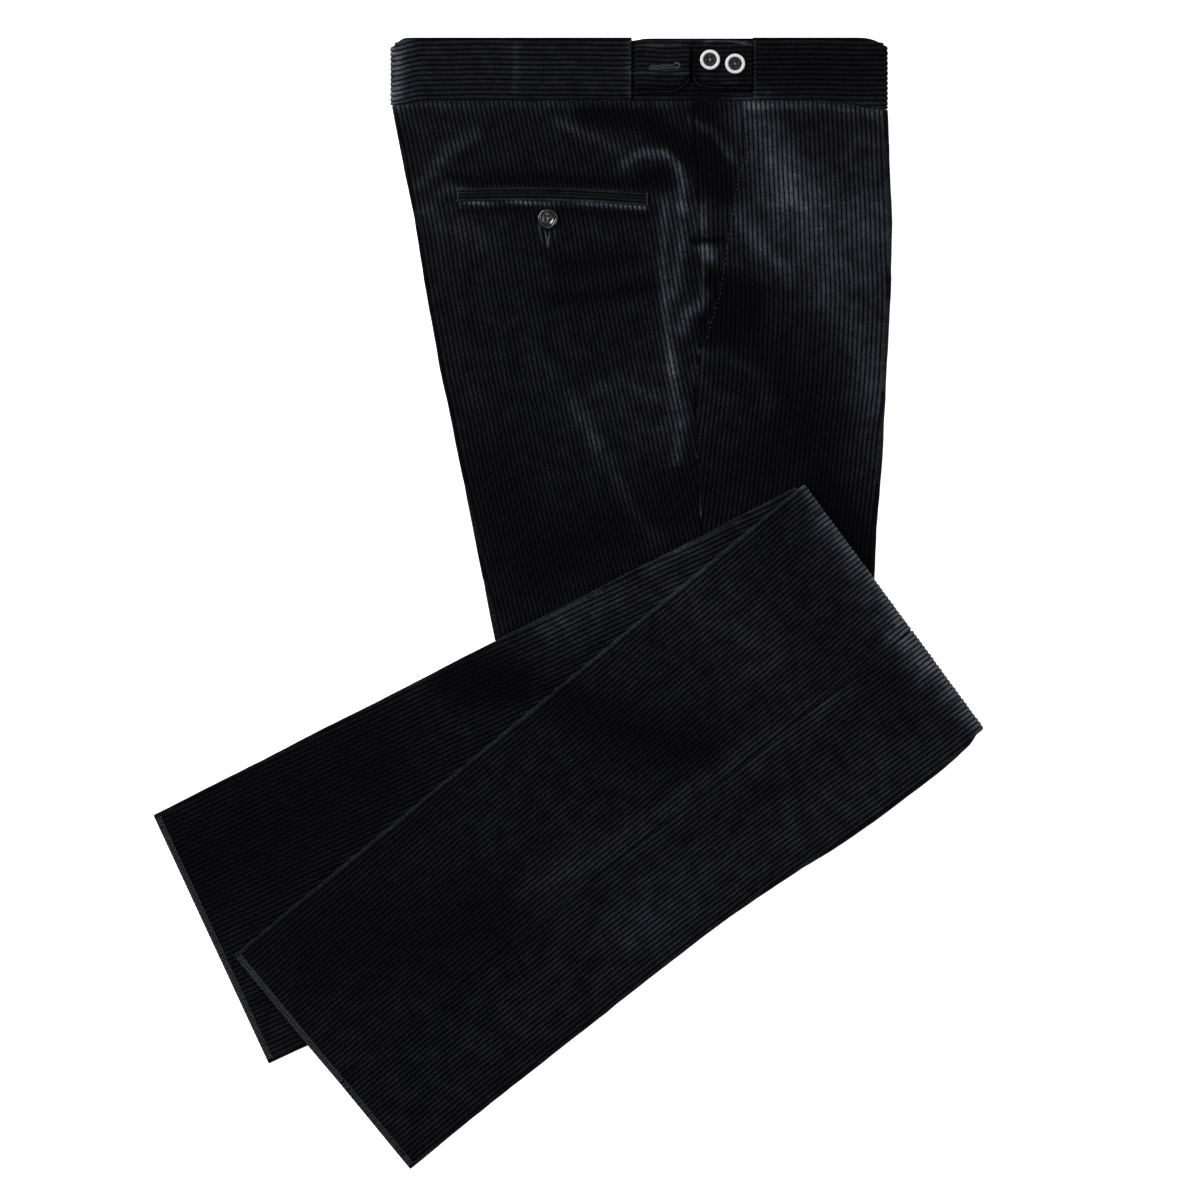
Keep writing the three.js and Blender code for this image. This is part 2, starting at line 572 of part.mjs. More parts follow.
// The piece between the folds.
const kneeBottom = (x, y) => {
  const away = (RIGHT_LEG.foldBack[0] - x) * foldUnit[0] + (RIGHT_LEG.foldBack[1] - y) * foldUnit[1];
  return thighLift(x, y) + (CLOTH + GAP) * (1 - ease((away - 22) / 14));
};
const KNEE_MIDDLE = [131, -55];
const KNEE_PULL = 1 - 5 / 110; // 5 of the half width's 110 mm, which the rings give back
layers("folded_layers_knee", 8, 8, (i, j) => {
  const [head, tail] = [mixXY(KNEE[0], KNEE[3], i / 8), mixXY(KNEE[1], KNEE[2], i / 8)];
  return mixXY(KNEE_MIDDLE, mixXY(head, tail, j / 8), KNEE_PULL);
}, (x, y) => thighLift(x, y) + KNEE_LIFT - 0.6, kneeBottom, [
  { out: 2.6, down: 0.08 }, { out: 3.6, down: 0.25 }, { out: 2.4, down: 0.46 },
  { out: 2.4, down: 0.54 }, { out: 3.6, down: 0.75 }, { out: 2.6, down: 0.92 },
]);

// The origin lies on the floor under the middle of the whole outline.
const middle = new THREE.Box3().setFromObject(object).getCenter(new THREE.Vector3());
object.traverse((mesh) => mesh.geometry?.translate(-middle.x, -middle.y, 0));

export default object;
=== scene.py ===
# %% [markdown]
# Folded corduroy trousers.
# The pair lies pressed flat with its right side up. The legs go up under themselves at a hidden fold
# and come back at a visible one, so the lower legs cross the thigh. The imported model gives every
# piece its place and size. This lesson gives the cloth its wales, its creases and its sewing.

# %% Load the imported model
import math
import bpy
import numpy as np
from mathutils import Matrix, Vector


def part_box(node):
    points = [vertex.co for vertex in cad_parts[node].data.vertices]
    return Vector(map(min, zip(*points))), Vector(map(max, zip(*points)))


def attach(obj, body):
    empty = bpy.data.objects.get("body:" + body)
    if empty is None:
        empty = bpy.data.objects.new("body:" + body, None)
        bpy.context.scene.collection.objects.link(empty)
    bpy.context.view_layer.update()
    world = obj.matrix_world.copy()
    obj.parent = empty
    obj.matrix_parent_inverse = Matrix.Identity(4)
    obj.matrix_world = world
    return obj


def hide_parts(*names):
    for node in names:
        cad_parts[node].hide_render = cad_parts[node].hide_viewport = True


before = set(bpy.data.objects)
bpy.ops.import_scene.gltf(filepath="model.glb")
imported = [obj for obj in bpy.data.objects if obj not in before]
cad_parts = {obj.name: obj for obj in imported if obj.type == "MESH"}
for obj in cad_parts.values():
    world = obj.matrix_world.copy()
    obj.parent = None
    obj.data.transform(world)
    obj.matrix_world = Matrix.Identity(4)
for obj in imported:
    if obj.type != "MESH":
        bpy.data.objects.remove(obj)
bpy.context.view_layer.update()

MM = 0.001

# %% [markdown]
# The sizes below are the driving dimensions of the pair, in millimetres, on the page that the
# camera looks down on: X to the right, Y up to the waistband, Z up from the floor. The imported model
# is centred on its outline, so one known place, the hip button, gives the small shift between the two.

# %% Driving sizes
CLOTH = 1.5
LINER = 1.6
GAP = 0.3
PAIR = LINER + GAP + CLOTH
HIP_CORE = 7.0
HIP_TOP = HIP_CORE + GAP + CLOTH
KNEE_LIFT = 8.3
WAIST_BOTTOM, WAIST_TOP, BAND_CLOTH = 391.0, 440.0, 2.6
WALE = 3.67
HIP_BUTTON = np.array([-15.6, 298.7])
low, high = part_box("pocket_button")
SHIFT = np.array([(low[k] + high[k]) / 2 / MM - HIP_BUTTON[k] for k in (0, 1)])
print("shift of the packed model", np.round(SHIFT, 2), "mm")

# Hip and thigh at heights y: places x of the back crease, side seam and front crease.
HIP = {
    "y": [440, 391, 345, 299, 252, 205, 182, 158, 111, 65, 18, -37, -163],
    "back": [-137.3, -137.3, -128.7, -118.7, -111.5, -103, -99.1, -93.6, -84.2, -74.9, -65.5, -54.6, -30],
    "seam": [96, 96.7, 99.5, 103, 104.5, 104.5, 101, 99.2, 101.4, 103.2, 109, 114.7, 124],
    "front": [248, 248.2, 249.6, 251.7, 251.2, 248.8, 247.3, 246.5, 244.1, 240.2, 237.9, 234.4, 225.4],
}
# The slant pocket's opening: places x of the front panel's edge at heights y.
SLANT = {
    "y": [391, 372, 348, 333, 317, 288, 240, 205],
    "edge": [135.7, 135.4, 138.1, 130.3, 127.9, 123.2, 115.9, 105.1],
}
HIDDEN_FOLD = {"back": (-54.6, -36.7), "front": (226.2, -163.0)}
RIGHT_LEG = {
    "fold_back": (183.3, 92.0), "fold_front": (324.6, -99.0),
    "hem_back": (-259.7, -274.6), "hem_front": (-123.2, -440.7), "seam": 0.59,
}
LEFT_LEG = {
    "fold_back": (177.1, 88.8), "fold_front": (312.0, -102.5),
    "hem_back": (-322.8, -166.0), "hem_front": (-233.4, -358.4), "seam": 0.543,
}
# How far the right leg's front crease bows out, at shares of the way from its fold to its hem.
FRONT_BOW = {
    "at": [0, 0.014, 0.03, 0.05, 0.075, 0.11, 0.18, 0.25, 0.32, 0.39, 0.46, 0.6, 0.74, 0.88, 1],
    "out": [-4, -2, 0.6, 2.1, 2.7, 2.8, 2.5, 1.4, -1.5, -3.8, -5.2, -4.6, -3.6, -2.4, 0],
}
# Corners of the hidden piece between the folds.
KNEE = [(-46, -40.5), (174, 79), (309, -102), (226, -158)]

# %% [markdown]
# Cloth that lies on other cloth takes the height of what is under it. So every height here is a
# function of a place on the page: full over an outline, and down to nothing over a stated distance
# outside it. Distances to lines and outlines are worked out for whole arrays at once.

# %% Heights of the folded stack
def ease(t):
    """Smooth step: three t squared less two t cubed, from 0 to 1."""
    c = np.clip(t, 0.0, 1.0)
    return c * c * (3.0 - 2.0 * c)


def read(table, key, at):
    """Value of a table's column at a value of its first column, straight between the rows."""
    by = np.array(next(iter(table.values())), float)
    order = np.argsort(by)
    return np.interp(at, by[order], np.array(table[key], float)[order])


def to_line(line, x, y):
    """Distance to a chain of straight stretches: the least of the distances to each stretch."""
    best = np.full(np.shape(x), np.inf)
    for (ax, ay), (bx, by) in zip(line[:-1], line[1:]):
        long2 = (bx - ax) ** 2 + (by - ay) ** 2
        t = np.clip(((x - ax) * (bx - ax) + (y - ay) * (by - ay)) / long2, 0.0, 1.0)
        best = np.minimum(best, np.hypot(x - ax - t * (bx - ax), y - ay - t * (by - ay)))
    return best


def to_outline(outline, x, y):
    """Distance to a closed outline, negative inside, where a ray to the right crosses it oddly."""
    inside = np.zeros(np.shape(x), bool)
    for (ax, ay), (bx, by) in zip(outline, outline[1:] + outline[:1]):
        if ay != by:
            inside ^= ((ay > y) != (by > y)) & (x < ax + (bx - ax) * (y - ay) / (by - ay))
    return np.where(inside, -1.0, 1.0) * to_line(outline + outline[:1], x, y)


hip_rows = [k for k, y in enumerate(HIP["y"]) if y > -30]
THIGH = [(HIP["back"][k], HIP["y"][k]) for k in hip_rows] + [HIDDEN_FOLD["back"], HIDDEN_FOLD["front"]]
THIGH += [(HIP["front"][k], HIP["y"][k]) for k in reversed(hip_rows)]
LEFT_OUTLINE = [(179, 92), (322, -100), LEFT_LEG["hem_front"], LEFT_LEG["hem_back"]]
LOWER_LEGS = [
    LEFT_LEG["hem_back"], RIGHT_LEG["fold_back"], RIGHT_LEG["fold_front"],
    RIGHT_LEG["hem_front"], LEFT_LEG["hem_front"],
]


def over(outline, near, reach, x, y):
    """1 over an outline and `near` mm round it, then smoothly to 0 over `reach` mm."""
    return 1.0 - ease((to_outline(outline, x, y) - near) / reach)


# How far each layer stays full round its outline, and over what distance it then goes down, in mm.
THIGH_DRAPE, KNEE_DRAPE, LEFT_DRAPE = (12, 76), (10, 84), (5, 40)


def thigh_lift(x, y):
    """Height of the top of the thigh, and of what hangs over its edge."""
    return (HIP_TOP + GAP) * over(THIGH, *THIGH_DRAPE, x, y)


def slack(x, y):
    """The layers part by 1 mm where they bend down to the floor, and close 92 to 122 mm out."""
    far = [to_outline(outline, x, y) for outline in (THIGH, KNEE)]
    return np.maximum(*[ease((d + 15) / 20) * (1 - ease((d - 92) / 30)) for d in far])


def left_lift(x, y):
    """Underside of the left lower leg: thigh, then the piece between the folds."""
    return thigh_lift(x, y) + (KNEE_LIFT + slack(x, y)) * over(KNEE, *KNEE_DRAPE, x, y)


def right_lift(x, y):
    """Underside of the right lower leg: on the left leg where they cross."""
    return left_lift(x, y) + (PAIR + GAP + slack(x, y)) * over(LEFT_OUTLINE, *LEFT_DRAPE, x, y)


# %% [markdown]
# Pressed trousers are never quite flat. On the hip the pocket bags, the dart and the side adjuster
# push up long soft ridges. Each is a line placed from the photo, with a height and a width,
# and its height falls off as a bell curve across the line. Hollows are the same with a minus sign.

# %% Creases of the hip
RIDGES = [
    # height, width, line
    (2.4, 7.5, [(-8, 372), (24, 362), (46, 352), (62, 350), (76, 347), (85, 336), (88, 314), (87, 282),
                (82, 240), (79, 213), (83, 146), (88, 105)]),
    (1.8, 8, [(-72, 364), (-90, 352), (-102, 338), (-112, 322)]),
    (1.5, 9, [(-27, 192), (2, 160), (22, 126), (63, 52)]),
    (1.5, 18, [(160, 372), (173, 310), (200, 240)]),
    (1.3, 6, [(104, 306), (111, 284), (107, 256), (98, 230), (90, 212)]),
    (-0.9, 7, [(-86, 331), (-20, 332), (58, 328)]),
]
SWELLS = [
    # height, x, y, width, height on the page
    (-1.3, 68, 329, 9, 8),
    (1.4, 44, 178, 24, 26),
    (-1.2, 131, 231, 18, 27),
    (1.2, -60, 190, 30, 60),
]
FINE_CREASES = [
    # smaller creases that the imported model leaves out
    (0.9, 4.5, [(-30, 262), (-12, 248), (14, 222), (30, 190)]),
    (0.8, 4.0, [(16, 268), (38, 250), (56, 224)]),
    (-0.7, 5.0, [(-8, 236), (18, 206), (44, 192)]),
    (0.8, 5.0, [(-60, 130), (-20, 100), (30, 84)]),
    (0.7, 4.0, [(101, 305), (112, 309), (122, 304)]),
    (0.9, 3.5, [(99, 274), (120, 275)]),
    (-1.0, 2.4, [(98, 281.6), (122, 282.6)]),
    (0.7, 5.0, [(70, 160), (84, 176), (92, 205)]),
    (0.6, 6.0, [(190, 330), (205, 270), (200, 200)]),
    (0.5, 6.0, [(150, 180), (160, 140), (156, 96)]),
    (0.7, 4.5, [(-100, 300), (-92, 262), (-84, 226)]),
    (0.9, 4.0, [(75, 312), (74, 262), (75, 232)]),
    (0.8, 4.0, [(96, 376), (113, 366), (128, 346)]),
    (0.8, 5.0, [(132, 300), (150, 276), (172, 256)]),
    (0.7, 5.0, [(24, 164), (42, 171), (66, 163)]),
    # loops of cord beside the buttonhole, under the cloth
    (0.5, 1.4, [(-22.6, 292.5), (-21.6, 287), (-20.2, 282)]),
    (0.4, 1.4, [(-9.4, 291), (-10.8, 285)]),
    # the dart: a sewn tuck from the waist to the pocket
    (-0.9, 1.5, [(-10, 389), (-10.6, 352), (-10.9, 336)]),
]


def creases(table, x, y):
    """Sum of ridges, each its height times a bell curve of the distance to its line."""
    return sum(high * np.exp(-(to_line(line, x, y) / wide) ** 2) for high, wide, line in table)


def hip_z(x, y):
    """Outer face of the hip panels: flat, with ridges and hollows, level again under the legs."""
    z = creases(RIDGES, x, y) + creases(FINE_CREASES, x, y)
    for high, cx, cy, wide, tall in SWELLS:
        z = z + high * np.exp(-((x - cx) / wide) ** 2 - ((y - cy) / tall) ** 2)
    level = ease((WAIST_BOTTOM - 3 - y) / 26) * ease((to_outline(LOWER_LEGS, x, y) - 4) / 40)
    return HIP_TOP + z * level


# %% [markdown]
# The nap of a dark pile looks lighter where the iron or a hand has laid it over, along a crease
# above all. The same patches carry painted light and shade: painted highlights and sheen along the
# ridges, the creases, the jets, the tabs' edges, the turned band end and the visible fold, and
# painted shade in the hollows, beside the jets and under the adjuster's tabs. These places are soft
# patches and bands: a chain of points with a width and a strength, below 0 for the dark ones.

# %% Laid-over pile, painted highlights and painted shade
PILE_AND_LIGHT_BASE = 0.27
HIP_PILE_AND_PAINTED_LIGHT = [
    # strength, width, line: the waistband and its seam, with painted highlights at the turned back end,
    # across the band and along the seam
    (0.95, 13, [(-140, 432), (-140, 396)]),
    (0.04, 22, [(-110, 415), (30, 415)]),
    (0.22, 3, [(-41, 434), (-41, 398)]),
    (0.20, 3, [(47, 434), (47, 398)]),
    (-0.12, 22, [(150, 415), (225, 415)]),
    (0.16, 3, [(-124, 387), (-40, 388), (96, 388)]),
    (0.40, 3.5, [(140, 388), (190, 387), (244, 382)]),
    # the side adjuster: painted highlights on the tabs' edges, painted shadows under and along their lower
    # edges
    (0.30, 1.4, [(50, 412.4), (72, 413), (94, 412)]),
    (0.26, 1.6, [(53, 432), (86, 434)]),
    (-0.34, 3, [(56, 398.4), (90, 399)]),
    (0.42, 1.4, [(106, 435), (114, 437.6), (123, 437.6), (143, 434.2)]),
    (0.24, 1.5, [(120, 404.4), (132, 404)]),
    (-0.34, 3.2, [(101, 399.4), (141, 399.2)]),
    (-0.28, 3, [(98.6, 426), (98.4, 408)]),
    (-0.6, 2.2, [(84, 398.6), (90, 402.6), (94.6, 408)]),
    (-0.6, 2.2, [(97.8, 409.5), (99.2, 405.4), (102.5, 402.4), (110, 401.2), (143, 400.4)]),
    # round the hip pocket: painted highlights on the jets, the cord loops and the ridges, painted shade in
    # the hollows and beside the jets
    (0.40, 1.3, [(-22.6, 292.5), (-21.6, 287), (-20.2, 282)]),
    (0.20, 1.3, [(-9.4, 291), (-10.8, 285)]),
    (0.95, 1.5, [(-84, 310.9), (-48, 312.1), (-12, 311.9), (26, 310.4), (60, 307.3)]),
    (-0.14, 3, [(-84, 305), (-12, 305.6), (58, 301.6)]),
    (0.12, 1.6, [(-84, 322.6), (-10, 323.4), (60, 319)]),
    (0.22, 6, [(-114, 326), (-101, 342), (-88, 354), (-70, 365)]),
    (0.20, 5, [(-112, 304), (-96, 320), (-84, 323)]),
    (0.20, 5, [(-8, 374), (12, 366), (44, 350)]),
    (0.55, 3.5, [(44, 342), (60, 350), (74, 350), (85, 342), (89, 330), (89, 306)]),
    (-0.20, 5, [(-86, 328.6), (0, 328.6), (58, 325)]),
    (-0.34, 7, [(64, 331), (73, 330)]),
    (-0.28, 9, [(14, 381), (58, 377), (80, 362), (95, 346)]),
    (0.14, 14, [(-98, 296), (-66, 284)]),
    (-0.16, 6, [(-10, 236), (30, 240), (66, 246)]),
    (-0.12, 10, [(-4, 262), (46, 268)]),
    # the long crease beside the side seam: painted highlights along it
    (0.26, 4, [(89, 306), (88, 272), (82, 240)]),
    (0.28, 3, [(75, 312), (74, 262), (75, 230), (78, 205), (81, 176)]),
    (0.28, 5, [(81, 190), (85, 158), (88, 136), (84, 112)]),
    (0.12, 11, [(82, 310), (80, 220), (84, 140)]),
    # the puckers and the hollow of the slant pocket: painted highlights on the puckers, painted shade in
    # the hollow
    (-0.24, 13, [(104, 386), (113, 352), (116, 330)]),
    (-0.22, 9, [(116, 332), (121, 318)]),
    (0.34, 4, [(96, 376), (113, 366), (128, 346)]),
    (0.20, 9, [(102, 300), (106, 288)]),
    (0.40, 2.2, [(105, 308), (105, 284)]),
    (-0.60, 2.2, [(98, 281.6), (122, 282.6)]),
    (0.62, 5, [(107, 275), (112, 268)]),
    (0.40, 2.4, [(105, 276), (104.6, 250), (104.4, 228)]),
    (0.45, 5, [(108, 240), (96, 226), (88, 212)]),
    (0.22, 4, [(104, 196), (100, 172)]),
    (-0.30, 16, [(118, 244), (134, 232), (120, 216)]),
    (-0.16, 12, [(142, 240), (128, 212)]),
    # the front panel: painted light, bright below the waist, then in streaks, with painted shade lower down
    (0.32, 17, [(143, 384), (156, 352), (172, 322)]),
    (0.24, 26, [(172, 330), (192, 296), (208, 262)]),
    (0.16, 32, [(150, 290), (228, 300)]),
    (0.25, 6, [(132, 300), (150, 276), (172, 256)]),
    (0.20, 14, [(200, 240), (226, 210), (236, 160)]),
    (0.14, 20, [(236, 370), (242, 230), (238, 120)]),
    (-0.14, 30, [(150, 186), (186, 132), (150, 110)]),
    (-0.05, 44, [(196, 150), (204, 50)]),
    (0.12, 8, [(122, 196), (152, 172), (156, 150)]),
    # low on the back panel: painted highlights along the ridges and painted shade between them
    (0.10, 8, [(-28, 192), (0, 162), (22, 126)]),
    (0.16, 7, [(4, 156), (22, 126), (42, 88), (66, 50)]),
    (-0.03, 70, [(-20, 300), (6, 60)]),
    (0.20, 6, [(22, 164), (42, 172), (66, 163)]),
    (0.10, 16, [(40, 150), (64, 134)]),
    (-0.12, 30, [(-60, 100), (-34, 20)]),
    (-0.14, 26, [(0, 40), (96, 84)]),
    (-0.30, 12, [(196, 92), (246, 22)]),
]
LEG_PILE_AND_PAINTED_LIGHT = [
    # the visible fold of the right leg: painted sheen where it rolls over
    (0.55, 6, [(184, 91), (236, 21), (324, -99)]),
    (0.26, 15, [(200, 62), (248, -8), (284, -56)]),
    (0.40, 10, [(256, -24), (276, -50)]),
    (0.30, 8, [(296, -72), (312, -94)]),
    # the creases of the right leg: painted highlights along them
    (0.14, 1.6, [(181, 90), (-30, -84.6), (-259, -274)]),
    (0.12, 1.6, [(-122, -438), (-40, -378)]),
    # the right lower leg: patches of laid-over pile, with painted light and painted shade where it drapes
    (0.13, 34, [(290, -118), (196, -168), (60, -248)]),
    (0.06, 34, [(60, -248), (-60, -322)]),
    (0.15, 13, [(206, -74), (168, -100), (100, -146), (40, -190), (-30, -222)]),
    (0.12, 26, [(84, 12), (124, -12), (150, -44)]),
    (-0.16, 20, [(0, -76), (50, -100), (104, -112)]),
    (-0.12, 46, [(-190, -270), (-70, -250)]),
    # the left lower leg: patches of laid-over pile, with painted light and painted shade where it drapes
    (0.20, 16, [(34, 8), (10, -6), (-12, -20)]),
    (0.12, 8, [(60, 26), (150, 78)]),
    (-0.30, 18, [(-88, -58), (-44, -62)]),
    (-0.16, 60, [(-290, -200), (-160, -130)]),
]


def crush(table, x, y):
    """Laid-over pile with painted highlights and painted shade: 0.27, and a bell curve round each line,
    held from 0 to 1.
    """
    return np.clip(PILE_AND_LIGHT_BASE + creases(table, x, y), 0, 1)


# %% [markdown]
# Corduroy is woven with loops that are cut and brushed into ribs, called wales. This cloth has
# about seven to the inch. A bump map would look flat where a wale ends at a seam, so the wales are
# real: the columns of every panel's grid run along them, six to a wale, and lift the outer face by a
# round profile. The inner face stays plain and has one column for each wale.
#
# One function makes every panel. It works in the panel's own directions, along and across the
# wales, and columns that would leave the panel are held on its edge, where their faces vanish.

# %% From grids to meshes
COLUMNS = 6
MERGE = 0.001
collection = bpy.context.scene.collection


def wale_height(phase):
    """Cut of a wale: the upper half of a flattened circle over each whole step of the phase."""
    across = 2.0 * (phase - np.floor(phase)) - 1.0
    return np.sqrt(np.clip(1.0 - across ** 2, 0.0, 1.0))


def grid_triangles(count_j, count_i, first, turned):
    """Two triangles for each square of a grid, numbered row by row from `first`."""
    j, i = np.meshgrid(np.arange(count_j - 1), np.arange(count_i - 1), indexing="ij")
    a = (first + j * count_i + i).ravel()
    b, c, d = a + 1, a + count_i + 1, a + count_i
    faces = np.concatenate([np.stack([a, b, c], 1), np.stack([a, c, d], 1)])
    return faces[:, ::-1] if turned else faces


def fan_strip(fine, coarse, step):
    """Triangles between a fine chain of points and a coarse one with every step-th of them."""
    k = np.arange(len(coarse) - 1)
    half = step // 2
    parts = [np.stack([coarse[k + 1], coarse[k], fine[k * step + half]], 1)]
    for m in range(step):
        near = coarse[k + (m >= half)]
        parts.append(np.stack([fine[k * step + m], fine[k * step + m + 1], near], 1))
    return np.concatenate(parts)


def write_mesh(name, points, faces, pile=None, grain=None, hole=None):
    """Merge points within 0.001 mm, drop faces that vanished, turn the rest outwards, write them."""
    keys = np.round(points / MERGE).astype(np.int64)
    _, first, number = np.unique(keys, axis=0, return_index=True, return_inverse=True)
    faces = number.reshape(-1)[faces]
    whole = (faces[:, 0] != faces[:, 1]) & (faces[:, 1] != faces[:, 2]) & (faces[:, 2] != faces[:, 0])
    faces = faces[whole]
    points = points[first]
    a, b, c = points[faces[:, 0]], points[faces[:, 1]], points[faces[:, 2]]
    if np.einsum("ij,ij->", a, np.cross(b, c)) < 0:
        faces = faces[:, ::-1]
    mesh = bpy.data.meshes.new(name)
    mesh.vertices.add(len(points))
    mesh.vertices.foreach_set("co", ((points + [*SHIFT, 0.0]) * MM).astype(np.float32).ravel())
    mesh.loops.add(len(faces) * 3)
    mesh.loops.foreach_set("vertex_index", faces.astype(np.int32).ravel())
    mesh.polygons.add(len(faces))
    mesh.polygons.foreach_set("loop_start", np.arange(0, len(faces) * 3, 3, dtype=np.int32))
    mesh.update(calc_edges=True)
    mesh.polygons.foreach_set("use_smooth", np.full(len(faces), True))
    values = {} if hole is None else {"hole": hole[first]}
    # The pile attribute paints shade towards each groove. The second attribute holds the laid-over pile
    # with its painted highlights and painted shade.
    if pile is not None:
        table = LEG_PILE_AND_PAINTED_LIGHT if name.startswith(("right", "left")) else HIP_PILE_AND_PAINTED_LIGHT
        values = {"pile": pile[first], "crush": crush(table, points[:, 0], points[:, 1])}
    for key, value in values.items():
        attribute = mesh.attributes.new(key, "FLOAT", "POINT")
        attribute.data.foreach_set("value", value.astype(np.float32))
    if grain is not None:
        uv = mesh.uv_layers.new(name="grain")
        uv.data.foreach_set("uv", (grain[first][faces.ravel()] * MM).astype(np.float32).ravel())
    mesh.validate()
    piece = bpy.data.objects.new(name, mesh)
    collection.objects.link(piece)
    print(name, len(faces), "triangles")
    return piece


def shell(name, outer, inner, pile, grain):
    """Closed cloth: a fine outer grid, an inner grid with every sixth column, and the rim between."""
    rows, fine = outer.shape[:2]
    coarse = inner.shape[1]
    base = rows * fine
    at_o = np.arange(base).reshape(rows, fine)
    at_i = base + np.arange(rows * coarse).reshape(rows, coarse)
    faces = [
        grid_triangles(rows, fine, 0, False), grid_triangles(rows, coarse, base, True),
        fan_strip(at_o[0], at_i[0], COLUMNS)[:, ::-1], fan_strip(at_o[-1], at_i[-1], COLUMNS),
    ]
    for side, turned in ((0, False), (-1, True)):
        a, b = at_o[:-1, side], at_o[1:, side]
        c, d = at_i[1:, side], at_i[:-1, side]
        strip = np.concatenate([np.stack([a, b, c], 1), np.stack([a, c, d], 1)])
        faces.append(strip[:, ::-1] if turned else strip)
    points = np.concatenate([outer.reshape(-1, 3), inner.reshape(-1, 3)])
    inner_grain = grain[:, ::COLUMNS]
    return write_mesh(
        name, points, np.concatenate(faces),
        np.concatenate([pile.ravel(), np.zeros(rows * coarse)]),
        np.concatenate([grain.reshape(-1, 2), inner_grain.reshape(-1, 2)]),
    )


# %% [markdown]
# A pressed crease is the cloth turned over a very small radius. In the panel function the distance
# from the crease becomes an angle once it is less than that radius, and six more columns carry the
# cloth round to the underside. The visible fold of the legs works the same way along the rows.

# %% One function for every corduroy panel
# The random steps of the wales repeat after this many wales.
RANDOM_WALES = 97


def on_crease(into, radius):
    """Angle of cloth that lies `into` mm from the crease: arc sine of the lacking share of radius."""
    return np.arcsin(np.clip((radius - into) / radius, 0.0, 1.0)) * (into < radius)


def round_edges(near, soft):
    """Drop of a worn or stitched edge: a quarter circle of `soft` mm, at distances `near` from it."""
    if not soft:
        return np.zeros_like(near)
    return soft * (1.0 - np.sqrt(1.0 - (1.0 - np.clip(near / soft, 0.0, 1.0)) ** 2))


